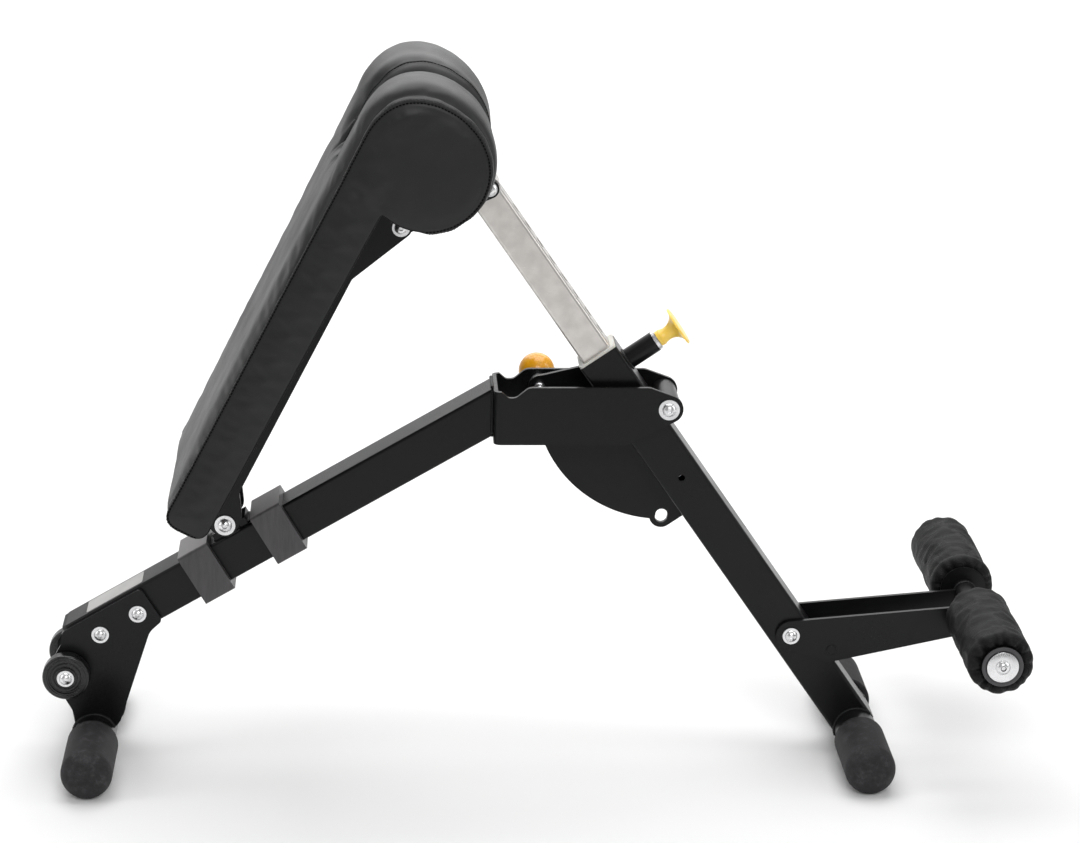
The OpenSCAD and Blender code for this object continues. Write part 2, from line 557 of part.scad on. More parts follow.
module roller_axle() color("#1b1b1d") RL() union() {
  // tube with its inner flanges
  rotate([90, 0, 0]) rotate_extrude($fn = 96) polygon([[axle_d / 2 - 2.5, -roll_y1], [axle_d / 2, -roll_y1],
    [axle_d / 2, -44.6], [28, -44.6], [28, -42.6], [axle_d / 2, -42.6], [axle_d / 2, 42.6], [28, 42.6], [28, 44.6],
    [axle_d / 2, 44.6], [axle_d / 2, roll_y1], [axle_d / 2 - 2.5, roll_y1]]);
  // end rings with washers and screws
  for (j = [-1, 1]) mirror([0, j > 0 ? 1 : 0, 0]) rotate([90, 0, 0]) difference() {
    rotate_extrude($fn = 96) translate([0, roll_y1 + 0.02]) polygon(concat(
      [[0, -20], [axle_d / 2 - 2.6, -20], [axle_d / 2 - 2.6, 0], [24.4, 0], [24.4, 2.5], [23.9, 3], [19.6, 3], [19.6, 1.4], [19.1, 1.4],
       [19.1, 4], [18.7, 4.4], [8.4, 4.4], [8.4, 4.8]],
      [for (i = [0:8]) let (t = 59.8 * (1 - i / 8)) [9.257 * sin(t), 0.143 + 9.257 * cos(t)]]));
    translate([0, 0, roll_y1 + 6]) cylinder(r = 3, h = 10, $fn = 6);
  }
}
module foam_roller(j) color("#242425") RL() mirror([0, j > 0 ? 1 : 0, 0]) rotate([90, 0, 0]) rotate_extrude($fn = 96)
  translate([0, roll_y0 + 0.3]) difference() {
    union() {
      translate([axle_d / 2 + 0.3, 0]) square([roller_d / 2 - 14 - axle_d / 2 - 0.3, roller_len]);
      translate([axle_d / 2 + 4, 14]) square([roller_d / 2 - axle_d / 2 - 4, roller_len - 28]);
      for (y = [14, roller_len - 14]) translate([roller_d / 2 - 14, y]) circle(r = 14);
    }
    translate([-60, -1]) square([60 + axle_d / 2 + 0.3, roller_len + 2]);
  }
module foam_roller_near() foam_roller(-1);
module foam_roller_far() foam_roller(1);

main_beam();
beam_end_cap();
centre_bracket();
front_gusset_near();
front_gusset_far();
gusset_bolts();
gusset_nuts();
front_foot_tube();
front_foot_cap_near();
front_foot_cap_far();
lower_bumper();
upper_bumper();
pad_pivot_barrel();
pad_pivot_bolt();
pad_pivot_nut();
pad_pivot_washers();
pad_pivot_bushes();
leg_pivot_bolt();
leg_pivot_nut();
leg_pivot_bushes();
wheel_near();
wheel_far();
wheel_bolts();
wheel_nuts();
rear_leg();
leg_pivot_barrel();
lock_fan_plate();
lock_pin_nose();
post_guide_bush();
rear_foot_tube();
rear_foot_cap_near();
rear_foot_cap_far();
adjust_post();
post_head();
post_glide();
pull_pin_housing();
pull_pin_nut();
pull_pin_plunger();
pull_pin_knob();
pull_pin_spring();
lock_pin_housing();
lock_pin_plunger();
lock_ball_knob();
lock_pin_spring();
pad_frame_near();
pad_frame_far();
pad_cross_plates();
pad_board();
pad_cushion();
pad_screws();
link_bolt();
link_bars();
link_studs();
arm_pivot_sleeve();
arm_pivot_bolt();
arm_plates();
arm_stop_rod();
roller_axle();
foam_roller_near();
foam_roller_far();
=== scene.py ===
import bpy, bmesh, math, json, random
import numpy as np
from mathutils import Vector, Matrix
from mathutils.geometry import delaunay_2d_cdt


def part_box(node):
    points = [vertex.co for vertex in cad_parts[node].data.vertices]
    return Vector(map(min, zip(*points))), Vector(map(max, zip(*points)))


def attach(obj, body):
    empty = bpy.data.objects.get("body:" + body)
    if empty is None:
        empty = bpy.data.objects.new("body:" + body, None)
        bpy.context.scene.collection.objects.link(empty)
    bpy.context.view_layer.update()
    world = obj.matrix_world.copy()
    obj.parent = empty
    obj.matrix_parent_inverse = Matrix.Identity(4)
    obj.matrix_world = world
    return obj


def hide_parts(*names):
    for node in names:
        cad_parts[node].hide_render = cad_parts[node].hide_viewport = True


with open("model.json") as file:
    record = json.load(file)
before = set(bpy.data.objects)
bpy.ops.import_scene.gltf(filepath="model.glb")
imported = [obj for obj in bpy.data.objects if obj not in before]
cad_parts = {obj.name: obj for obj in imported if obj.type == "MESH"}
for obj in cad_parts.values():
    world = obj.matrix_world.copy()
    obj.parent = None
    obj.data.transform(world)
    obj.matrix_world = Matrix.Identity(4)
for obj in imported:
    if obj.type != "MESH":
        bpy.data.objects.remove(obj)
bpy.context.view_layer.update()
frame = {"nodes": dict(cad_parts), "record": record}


scene = bpy.context.scene
random.seed(7)
NODES = frame["nodes"]

# ---------------------------------------------------------------- side view frames (millimetres)
_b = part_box("leg_pivot_bolt")
_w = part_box("wheel_near")
PVX = (_b[0][0] + _b[1][0]) / 2            # leg hinge, x
PVZ = (_b[0][2] + _b[1][2]) / 2            # leg hinge, z


def P(x, z, y=0.0):
    return Vector((PVX + x / 1000, y / 1000, PVZ + z / 1000))


LA = math.radians(55.3)
PA = math.radians(62.2)
BA = math.radians(30.3)


def LEG(x, z, y=0.0):
    return P(x * math.cos(LA) + z * math.sin(LA), -x * math.sin(LA) + z * math.cos(LA), y)


def BEAM(x, z, y=0.0):
    return P(-207 + x * math.cos(BA) - z * math.sin(BA), -8.5 + x * math.sin(BA) + z * math.cos(BA), y)


def PAD(x, z, y=0.0):
    return P(-525 + x * math.cos(PA) - z * math.sin(PA), -147 + x * math.sin(PA) + z * math.cos(PA), y)


PADX = (PAD(1, 0) - PAD(0, 0)) * 1000
PADZ = (PAD(0, 1) - PAD(0, 0)) * 1000


def smooth(a, b, t):
    if a == b:
        return 0.0 if t < a else 1.0
    t = min(1.0, max(0.0, (t - a) / (b - a)))
    return t * t * (3 - 2 * t)


# ---------------------------------------------------------------- mesh helpers
def make(name, verts, faces, shade=True):
    me = bpy.data.meshes.new(name)
    me.from_pydata([tuple(v) for v in verts], [], [tuple(f) for f in faces])
    me.validate()
    me.update()
    ob = bpy.data.objects.new(name, me)
    scene.collection.objects.link(ob)
    if shade:
        me.polygons.foreach_set("use_smooth", [True] * len(me.polygons))
    return ob


def apply_mods(ob):
    dg = bpy.context.evaluated_depsgraph_get()
    me = bpy.data.meshes.new_from_object(ob.evaluated_get(dg), preserve_all_data_layers=True, depsgraph=dg)
    old = ob.data
    ob.modifiers.clear()
    ob.data = me
    bpy.data.meshes.remove(old)


def fix_normals(ob):
    bm = bmesh.new()
    bm.from_mesh(ob.data)
    bmesh.ops.recalc_face_normals(bm, faces=bm.faces)
    bm.to_mesh(ob.data)
    bm.free()


def tube(path, radii, seg=8, closed=False, ups=None):
    """verts, faces of a round sweep along a list of points"""
    n = len(path)
    verts, faces = [], []
    up = ups[0] if ups else Vector((0, 0, 1))
    for i, p in enumerate(path):
        a = path[(i - 1) % n] if (closed or i > 0) else path[i]
        b = path[(i + 1) % n] if (closed or i < n - 1) else path[i]
        t = (b - a).normalized()
        if ups:
            up = ups[i]
        s = t.cross(up)
        if s.length < 1e-6:
            s = t.orthogonal()
        s.normalize()
        u = s.cross(t).normalized()
        r = radii[i] if isinstance(radii, (list, tuple)) else radii
        for k in range(seg):
            q = 2 * math.pi * k / seg
            verts.append(p + s * (r * math.cos(q)) + u * (r * math.sin(q)))
    m = n if closed else n - 1
    for i in range(m):
        j = (i + 1) % n
        for k in range(seg):
            l = (k + 1) % seg
            faces.append((i * seg + k, i * seg + l, j * seg + l, j * seg + k))
    if not closed:
        faces.append(tuple(reversed(range(seg))))
        faces.append(tuple((n - 1) * seg + k for k in range(seg)))
    return verts, faces


def join_parts(name, parts):
    V, F = [], []
    for v, f in parts:
        o = len(V)
        V += list(v)
        F += [tuple(i + o for i in q) for q in f]
    return make(name, V, F)


def resample(pts, step, closed=False):
    """points at equal steps along a polyline"""
    pts = [Vector(p) for p in pts]
    if closed:
        pts = pts + [pts[0]]
    d = [0.0]
    for a, b in zip(pts, pts[1:]):
        d.append(d[-1] + (b - a).length)
    total = d[-1]
    n = max(2, int(round(total / step)))
    out, k = [], 0
    for i in range(n if closed else n + 1):
        s = total * i / n
        while k < len(d) - 2 and d[k + 1] < s:
            k += 1
        t = (s - d[k]) / max(1e-12, d[k + 1] - d[k])
        out.append(pts[k].lerp(pts[k + 1], t))
    return out


def set_mat(ob, *mats):
    ob.data.materials.clear()
    for m in mats:
        ob.data.materials.append(m)


# ---------------------------------------------------------------- materials
class Mat:
    def __init__(self, name):
        self.m = bpy.data.materials.new(name)
        self.m.use_nodes = True
        self.t = self.m.node_tree
        self.t.nodes.clear()
        self.out = self.t.nodes.new("ShaderNodeOutputMaterial")
        self.b = self.t.nodes.new("ShaderNodeBsdfPrincipled")
        self.t.links.new(self.b.outputs[0], self.out.inputs[0])
        self.co = self.t.nodes.new("ShaderNodeTexCoord").outputs["Object"]

    def set(self, **kw):
        names = dict(base="Base Color", rough="Roughness", metal="Metallic", ior="IOR", spec="Specular IOR Level",
                     coat="Coat Weight", coat_rough="Coat Roughness", sheen="Sheen Weight", sheen_rough="Sheen Roughness",
                     sss="Subsurface Weight", sss_scale="Subsurface Scale")
        for k, v in kw.items():
            i = self.b.inputs[names[k]]
            if k == "base" and len(v) == 3:
                v = (*v, 1)
            i.default_value = v
        return self

    def node(self, kind, **kw):
        n = self.t.nodes.new(kind)
        for k, v in kw.items():
            setattr(n, k, v)
        return n

    def link(self, a, b):
        self.t.links.new(a, b)

    def mapping(self, scale=(1, 1, 1), rot=(0, 0, 0), src=None):
        n = self.node("ShaderNodeMapping")
        n.inputs["Scale"].default_value = scale
        n.inputs["Rotation"].default_value = rot
        self.link(src or self.co, n.inputs["Vector"])
        return n.outputs[0]

    def noise(self, scale, detail=2.0, rough=0.5, vec=None, dist=0.0):
        n = self.node("ShaderNodeTexNoise")
        n.inputs["Scale"].default_value = scale
        n.inputs["Detail"].default_value = detail
        n.inputs["Roughness"].default_value = rough
        n.inputs["Distortion"].default_value = dist
        self.link(vec or self.co, n.inputs["Vector"])
        return n.outputs["Fac"]

    def voronoi(self, scale, vec=None, feature="DISTANCE_TO_EDGE", rnd=1.0):
        n = self.node("ShaderNodeTexVoronoi", feature=feature)
        n.inputs["Scale"].default_value = scale
        n.inputs["Randomness"].default_value = rnd
        self.link(vec or self.co, n.inputs["Vector"])
        return n.outputs["Distance"]

    def wave(self, scale, vec=None, direction="Y", dist=0.0, dscale=1.0, detail=2.0, kind="BANDS"):
        n = self.node("ShaderNodeTexWave", wave_type=kind)
        if kind == "BANDS":
            n.bands_direction = direction
        n.inputs["Scale"].default_value = scale
        n.inputs["Distortion"].default_value = dist
        n.inputs["Detail"].default_value = detail
        n.inputs["Detail Scale"].default_value = dscale
        self.link(vec or self.co, n.inputs["Vector"])
        return n.outputs["Fac"]

    def ramp(self, fac, stops):
        n = self.node("ShaderNodeValToRGB")
        e = n.color_ramp.elements
        while len(e) > 1:
            e.remove(e[-1])
        e[0].position, e[0].color = stops[0][0], self._c(stops[0][1])
        for p, c in stops[1:]:
            q = e.new(p)
            q.color = self._c(c)
        self.link(fac, n.inputs["Fac"])
        return n.outputs["Color"]

    @staticmethod
    def _c(c):
        if isinstance(c, (int, float)):
            return (c, c, c, 1)
        return (*c[:3], 1)

    def rng(self, fac, a, b, c, d):
        n = self.node("ShaderNodeMapRange")
        for k, v in zip(("From Min", "From Max", "To Min", "To Max"), (a, b, c, d)):
            n.inputs[k].default_value = v
        self.link(fac, n.inputs["Value"])
        return n.outputs["Result"]

    def math(self, op, a, b):
        n = self.node("ShaderNodeMath", operation=op)
        for i, v in enumerate((a, b)):
            if isinstance(v, (int, float)):
                n.inputs[i].default_value = v
            else:
                self.link(v, n.inputs[i])
        return n.outputs[0]

    def mix(self, fac, a, b):
        n = self.node("ShaderNodeMix", data_type="RGBA")
        if isinstance(fac, (int, float)):
            n.inputs[0].default_value = fac
        else:
            self.link(fac, n.inputs[0])
        for i, v in ((6, a), (7, b)):
            if isinstance(v, tuple):
                n.inputs[i].default_value = self._c(v)
            else:
                self.link(v, n.inputs[i])
        return n.outputs[2]

    def base(self, sock):
        self.link(sock, self.b.inputs["Base Color"])
        return self

    def rough(self, sock):
        self.link(sock, self.b.inputs["Roughness"])
        return self

    def bump(self, *layers):
        """layers of (height, strength, distance in metres)"""
        prev = None
        for h, s, d in layers:
            n = self.node("ShaderNodeBump")
            n.inputs["Strength"].default_value = s
            n.inputs["Distance"].default_value = d
            self.link(h, n.inputs["Height"])
            if prev:
                self.link(prev, n.inputs["Normal"])
            prev = n.outputs[0]
        self.link(prev, self.b.inputs["Normal"])
        return self


def powder_coat():
    k = Mat("powder_coat_black").set(spec=0.22, ior=1.5)
    big = k.noise(9, 3)
    fine = k.noise(420, 2, 0.6)
    micro = k.noise(1500, 1)
    k.base(k.ramp(big, [(0.3, (0.0040, 0.0040, 0.0043)), (0.75, (0.0070, 0.0070, 0.0074))]))
    k.rough(k.math("ADD", k.rng(big, 0.3, 0.7, 0.25, 0.34), k.rng(micro, 0.3, 0.7, -0.02, 0.03)))
    k.bump((fine, 0.22, 0.00040), (micro, 0.12, 0.00012))
    return k.m


def moulded_rubber():
    k = Mat("moulded_rubber").set(spec=0.22)
    blotch = k.noise(95, 5, 0.7)
    big = k.noise(14, 2)
    grain = k.noise(900, 3, 0.7)
    c = k.ramp(blotch, [(0.36, (0.017, 0.016, 0.017)), (0.52, (0.027, 0.026, 0.028)), (0.68, (0.052, 0.050, 0.053))])
    c = k.mix(k.rng(big, 0.35, 0.7, 0.0, 0.35), c, (0.016, 0.015, 0.016))
    k.base(c)
    k.rough(k.rng(blotch, 0.3, 0.7, 0.60, 0.78))
    k.bump((blotch, 0.35, 0.0006), (grain, 0.35, 0.0002))
    return k.m


def extruded_rubber():
    """smoother grey block with faint saw marks along its length, and painted light on its up-facing faces"""
    k = Mat("bumper_rubber").set(spec=0.5)
    vec = k.mapping((260, 40, 30), (0, math.radians(30.3), 0))
    streak = k.noise(1.0, 4, 0.6, vec=vec)
    grain = k.noise(1100, 2, 0.6)
    big = k.noise(30, 3)
    c = k.ramp(streak, [(0.35, (0.040, 0.038, 0.040)), (0.7, (0.060, 0.057, 0.060))])
    c = k.mix(k.rng(big, 0.4, 0.7, 0.0, 0.3), c, (0.075, 0.070, 0.071))
    sep = k.node("ShaderNodeSeparateXYZ")
    k.link(k.node("ShaderNodeNewGeometry").outputs["Normal"], sep.inputs[0])
    # painted highlight: faces that point up are mixed towards pale grey, standing in for the overhead light on the
    # tops
    up = k.math("MULTIPLY", k.rng(sep.outputs["Z"], 0.55, 0.85, 0.0, 1.0), k.rng(streak, 0.25, 0.75, 0.55, 1.0))
    k.base(k.mix(up, c, (0.235, 0.222, 0.226)))
    k.rough(k.rng(streak, 0.3, 0.7, 0.30, 0.44))
    k.bump((streak, 0.20, 0.0004), (grain, 0.25, 0.00015))
    return k.m


def plated(name, base, lo, hi, brush=None):
    k = Mat(name).set(metal=1.0)
    big = k.noise(60, 3)
    if brush:
        vec = k.mapping(brush[0], brush[1])
        line = k.noise(1.0, 4, 0.65, vec=vec)
    else:
        line = k.noise(800, 2, 0.6)
    d = tuple(v * 0.86 for v in base)
    k.base(k.mix(k.rng(big, 0.35, 0.7, 0, 1), base, d))
    k.rough(k.math("ADD", k.rng(line, 0.3, 0.7, lo, hi), k.rng(big, 0.4, 0.7, 0.0, 0.05)))
    k.bump((line, 0.08, 0.0001))
    return k.m


def plastic(name, base, rough, var=0.85, coat=0.0, grain=1200, gs=0.12, sss=0.0):
    k = Mat(name).set(coat=coat, coat_rough=0.12)
    if sss:
        k.set(sss=sss, sss_scale=0.004)
    big = k.noise(22, 3, 0.6, dist=0.6)
    g = k.noise(grain, 2, 0.6)
    k.base(k.mix(k.rng(big, 0.35, 0.68, 0, 1), base, tuple(v * var for v in base)))
    k.rough(k.math("ADD", k.rng(big, 0.3, 0.7, rough - 0.04, rough + 0.05), k.rng(g, 0.3, 0.7, -0.02, 0.02)))
    k.bump((g, gs, 0.00015))
    return k.m


def vinyl():
    k = Mat("black_vinyl").set(spec=0.38, ior=1.5)
    vec = k.mapping((1, 1, 1), (0, PA, 0))
    cells = k.voronoi(720, vec)
    pores = k.noise(1900, 2, 0.6)
    soft = k.noise(26, 3, 0.55)
    wear = k.noise(7, 2)
    crease = k.ramp(cells, [(0.0, 0.0), (0.16, 1.0)])
    c = k.ramp(soft, [(0.3, (0.0065, 0.0065, 0.0067)), (0.72, (0.0100, 0.0099, 0.0101))])
    # painted shade: the base colour is darkened along the grain creases
    k.base(k.mix(k.rng(crease, 0, 1, 0.35, 0.0), c, (0.005, 0.005, 0.0053)))
    k.rough(k.math("ADD", k.rng(soft, 0.3, 0.7, 0.40, 0.47), k.rng(wear, 0.35, 0.7, -0.03, 0.05)))
    k.bump((crease, 0.22, 0.00018), (pores, 0.12, 0.00010), (soft, 0.10, 0.0012))
    return k.m


def thread():
    k = Mat("black_thread").set(spec=0.08)
    w = k.wave(900, direction="X", dist=0.5)
    k.base(k.ramp(w, [(0.2, (0.0010, 0.0010, 0.0010)), (0.8, (0.0035, 0.0035, 0.0035))]))
    k.rough(k.rng(w, 0, 1, 0.55, 0.8))
    k.bump((w, 0.4, 0.0002))
    return k.m


def dust_cloth():
    k = Mat("dust_cover_cloth").set(spec=0.2)
    n = k.noise(700, 4, 0.75)
    v = k.voronoi(420, feature="F1")
    k.base(k.ramp(n, [(0.3, (0.006, 0.006, 0.006)), (0.75, (0.016, 0.016, 0.016))]))
    k.rough(k.rng(n, 0.3, 0.7, 0.85, 0.98))
    k.bump((v, 0.4, 0.0003), (n, 0.3, 0.0002))
    return k.m


def roller_cloth():
    k = Mat("roller_sleeve_cloth").set(spec=0.16, sheen=0.0, sheen_rough=0.5)
    rib = k.wave(210, direction="Y", dist=0.6, dscale=3.0)
    weave = k.noise(1500, 2, 0.6)
    streak = k.noise(1.0, 4, 0.6, vec=k.mapping((18, 240, 18)))
    soft = k.noise(30, 3)
    c = k.ramp(streak, [(0.35, (0.0035, 0.0035, 0.0037)), (0.70, (0.0085, 0.0084, 0.0087))])
    k.base(k.mix(k.rng(soft, 0.4, 0.7, 0, 0.5), c, (0.0050, 0.0050, 0.0052)))
    k.rough(k.rng(streak, 0.3, 0.7, 0.42, 0.62))
    k.bump((rib, 0.6, 0.00055), (streak, 0.75, 0.0011), (weave, 0.25, 0.00018))
    return k.m


def plywood():
    k = Mat("birch_plywood")
    vec = k.mapping((30, 30, 500), (0, PA, 0))
    g = k.noise(1.0, 4, 0.6, vec=vec, dist=1.5)
    k.base(k.ramp(g, [(0.3, (0.30, 0.19, 0.10)), (0.55, (0.42, 0.29, 0.16)), (0.75, (0.52, 0.38, 0.23))]))
    k.rough(k.rng(g, 0.3, 0.7, 0.5, 0.7))
    k.bump((g, 0.2, 0.0003))
    return k.m


def weld_metal():
    k = Mat("coated_weld").set(spec=0.22)
    n = k.noise(300, 3, 0.6)
    k.base(k.ramp(n, [(0.3, (0.004, 0.004, 0.0043)), (0.75, (0.009, 0.009, 0.0093))]))
    k.rough(k.rng(n, 0.3, 0.7, 0.30, 0.42))
    k.bump((n, 0.25, 0.0004))
    return k.m


def label_paper():
    k = Mat("blank_label").set(coat=0.3, coat_rough=0.2)
    n = k.noise(40, 2)
    f = k.noise(900, 3)
    k.base(k.mix(k.rng(n, 0.35, 0.7, 0, 1), (0.42, 0.41, 0.40), (0.36, 0.355, 0.35)))
    k.rough(k.rng(f, 0.3, 0.7, 0.35, 0.5))
    k.bump((f, 0.1, 0.0001))
    return k.m


M_POWDER = powder_coat()
M_RUBBER = moulded_rubber()
M_BUMPER = extruded_rubber()
M_ZINC = plated("zinc_plate", (0.80, 0.80, 0.81), 0.20, 0.34)
M_STEEL = plated("turned_steel", (0.60, 0.60, 0.61), 0.26, 0.40)
M_POST = plated("satin_chrome", (0.70, 0.67, 0.64), 0.26, 0.36, brush=((26, 700, 700), (0, -LA, 0)))
M_HEAD = plated("satin_chrome_head", (0.72, 0.70, 0.68), 0.24, 0.36)
M_NYLON = plastic("white_nylon", (0.66, 0.65, 0.60), 0.42, 0.9, sss=0.1)
M_YELLOW = plastic("yellow_knob", (0.97, 0.66, 0.10), 0.36, 0.94, coat=0.2, sss=0.08)
M_AMBER = plastic("amber_ball", (0.93, 0.42, 0.010), 0.30, 0.80, coat=0.3, sss=0.06)
M_WHEEL = plastic("wheel_plastic", (0.006, 0.006, 0.0065), 0.26, 0.8, grain=600, gs=0.12)
M_CAP = plastic("end_cap_plastic", (0.010, 0.010, 0.011), 0.50, 0.8, grain=500, gs=0.3)
M_VINYL = vinyl()
M_THREAD = thread()
M_DUST = dust_cloth()
M_SLEEVE = roller_cloth()
M_PLY = plywood()
M_WELD = weld_metal()
M_LABEL = label_paper()
M_RING = plastic("grey_end_ring", (0.055, 0.053, 0.057), 0.45, 0.85, grain=700, gs=0.2)

by_slot = {
    "frame_paint": M_POWDER, "end_cap": M_CAP, "dark_rubber": M_RUBBER, "zinc_bolt": M_ZINC, "pin_steel": M_STEEL,
    "post_chrome": M_POST, "white_nylon": M_NYLON, "pull_yellow": M_YELLOW, "ball_amber": M_AMBER,
    "wheel_plastic": M_WHEEL, "pad_vinyl": M_VINYL, "board_wood": M_PLY, "roller_cloth": M_SLEEVE,
}
slot_of = {s["node"]: s["material_slot"] for s in frame["record"]["subparts"]}
for name, ob in NODES.items():
    m = by_slot[slot_of[name]]
    if name in ("lower_bumper", "upper_bumper"):
        m = M_BUMPER
    if name == "post_head":
        m = M_HEAD
    for i in range(max(1, len(ob.material_slots))):
        if len(ob.material_slots) <= i:
            ob.data.materials.append(m)
        else:
            ob.material_slots[i].material = m


# ---------------------------------------------------------------- pad upholstery
def clothify(ob, pin, frames=14, pressure=4.0, cap=5.0, tension=15.0, shrink=0.0, mass=0.3):
    """inflates the mesh as cloth with pinned seams; no point moves further than cap (mm)"""
    me = ob.data
    rest = np.empty(len(me.vertices) * 3)
    me.vertices.foreach_get("co", rest)
    rest = rest.reshape(-1, 3).copy()
    vg = ob.vertex_groups.new(name="pin")
    for w, ids in pin.items():
        if ids:
            vg.add(ids, w, "REPLACE")
    md = ob.modifiers.new("cloth", "CLOTH")
    s = md.settings
    s.quality = 6
    s.mass = mass
    s.tension_stiffness = tension
    s.compression_stiffness = tension
    s.shear_stiffness = tension * 0.4
    s.bending_stiffness = 0.6
    s.use_pressure = True
    s.uniform_pressure_force = pressure
    s.vertex_group_mass = "pin"
    s.pin_stiffness = 1.0
    s.shrink_min = shrink
    s.effector_weights.gravity = 0.0
    s.air_damping = 2.0
    md.collision_settings.use_self_collision = False
    md.point_cache.frame_start = 1
    md.point_cache.frame_end = frames
    for f in range(1, frames + 1):
        scene.frame_set(f)
    dg = bpy.context.evaluated_depsgraph_get()
    ev = ob.evaluated_get(dg)
    got = np.empty(len(me.vertices) * 3)
    ev.data.vertices.foreach_get("co", got)
    got = got.reshape(-1, 3)
    ob.modifiers.clear()
    ob.vertex_groups.clear()
    scene.frame_set(1)
    d = got - rest
    d[~np.isfinite(d)] = 0.0
    ln = np.linalg.norm(d, axis=1)
    lim = cap / 1000.0
    k = np.where(ln > 1e-9, lim * np.tanh(ln / lim) / np.maximum(ln, 1e-9), 1.0)
    out = rest + d * k[:, None]
    me.vertices.foreach_set("co", out.ravel())
    me.update()
    return float(ln.max() * 1000), float(ln.mean() * 1000)


def rounded(pts, n_arc=8):
    """closed outline from (x, z, radius) corners"""
    out = []
    m = len(pts)
    for i, (x, z, r) in enumerate(pts):
        v = Vector((x, z))
        a = Vector(pts[i - 1][:2])
        b = Vector(pts[(i + 1) % m][:2])
        if r <= 0:
            out.append(v)
            continue
        u, w = (a - v).normalized(), (b - v).normalized()
        h = u.angle(w) / 2
        t = r / math.tan(h)
        c = v + (u + w).normalized() * (r / math.sin(h))
        s, e = v + u * t - c, v + w * t - c
        a0, a1 = math.atan2(s.y, s.x), math.atan2(e.y, e.x)
        d = (a1 - a0 + math.pi) % (2 * math.pi) - math.pi
        for k in range(n_arc + 1):
            q = a0 + d * k / n_arc
            out.append(c + Vector((math.cos(q), math.sin(q))) * r)
    return out


HALF = 150.0
C0 = Vector((518.0, 6.0))       # the bolster's tables turn about this point
Z0 = 26.25                      # underside
XB = 9.5                        # lower end
# radius by angle: end seam, crease beside it, crown, seam of the hollow
T_S = [(-175, 73.0), (-135, 72.5), (-103, 71.6), (-80, 70.8), (-67, 70.2), (-52, 69.0), (-38, 67.8), (-18, 67.2), (5, 69.3), (24, 73.0), (37, 76.2), (48, 78.2), (63, 78.8), (77, 77.8), (90, 77.2), (110, 79)]
T_G = [(-175, 75.6), (-135, 75.6), (-105, 75.2), (-80, 74.8), (-60, 74.4), (-44, 73.8), (-29, 73.2), (-12, 73.8), (7, 75.8), (25, 80.6), (36, 83.2), (51, 85.2), (62, 84.2), (82, 80.6), (90, 79.6), (110, 81)]
T_K = [(-175, 77.0), (-135, 77.2), (-105, 77.2), (-80, 77.4), (-55, 77.6), (-33, 78.0), (-18, 79.4), (-7, 81.2), (8, 84.4), (22, 88.4), (33, 91.0), (45, 92.6), (57, 91.8), (65, 90.2), (75, 88.0), (90, 85.0), (110, 88)]
T_V = [(-175, 75.0), (-135, 75.2), (-90, 76.4), (-58, 77.4), (-37, 78.4), (-20, 79.6), (-3, 81.0), (15, 84.0), (30, 86.8), (43, 87.2), (56, 85.0), (71, 81.0), (90, 79.5), (110, 81)]


def table(t, v):
    if v <= t[0][0]:
        return t[0][1]
    for (x0, y0), (x1, y1) in zip(t, t[1:]):
        if v <= x1:
            k = (v - x0) / (x1 - x0)
            k = 0.5 * k + 0.5 * k * k * (3 - 2 * k)
            return y0 + (y1 - y0) * k
    return t[-1][1]


def z_seam(x):
    return 78.4 + 3.4 * smooth(20, 470, x) + 1.4 * smooth(440, 518, x)


def z_crown(x):
    return 79.5 + 2.0 * smooth(24, 90, x) + 3.4 * smooth(24, 210, x) + 4.7 * smooth(120, 470, x) + 1.4 * smooth(440, 518, x)


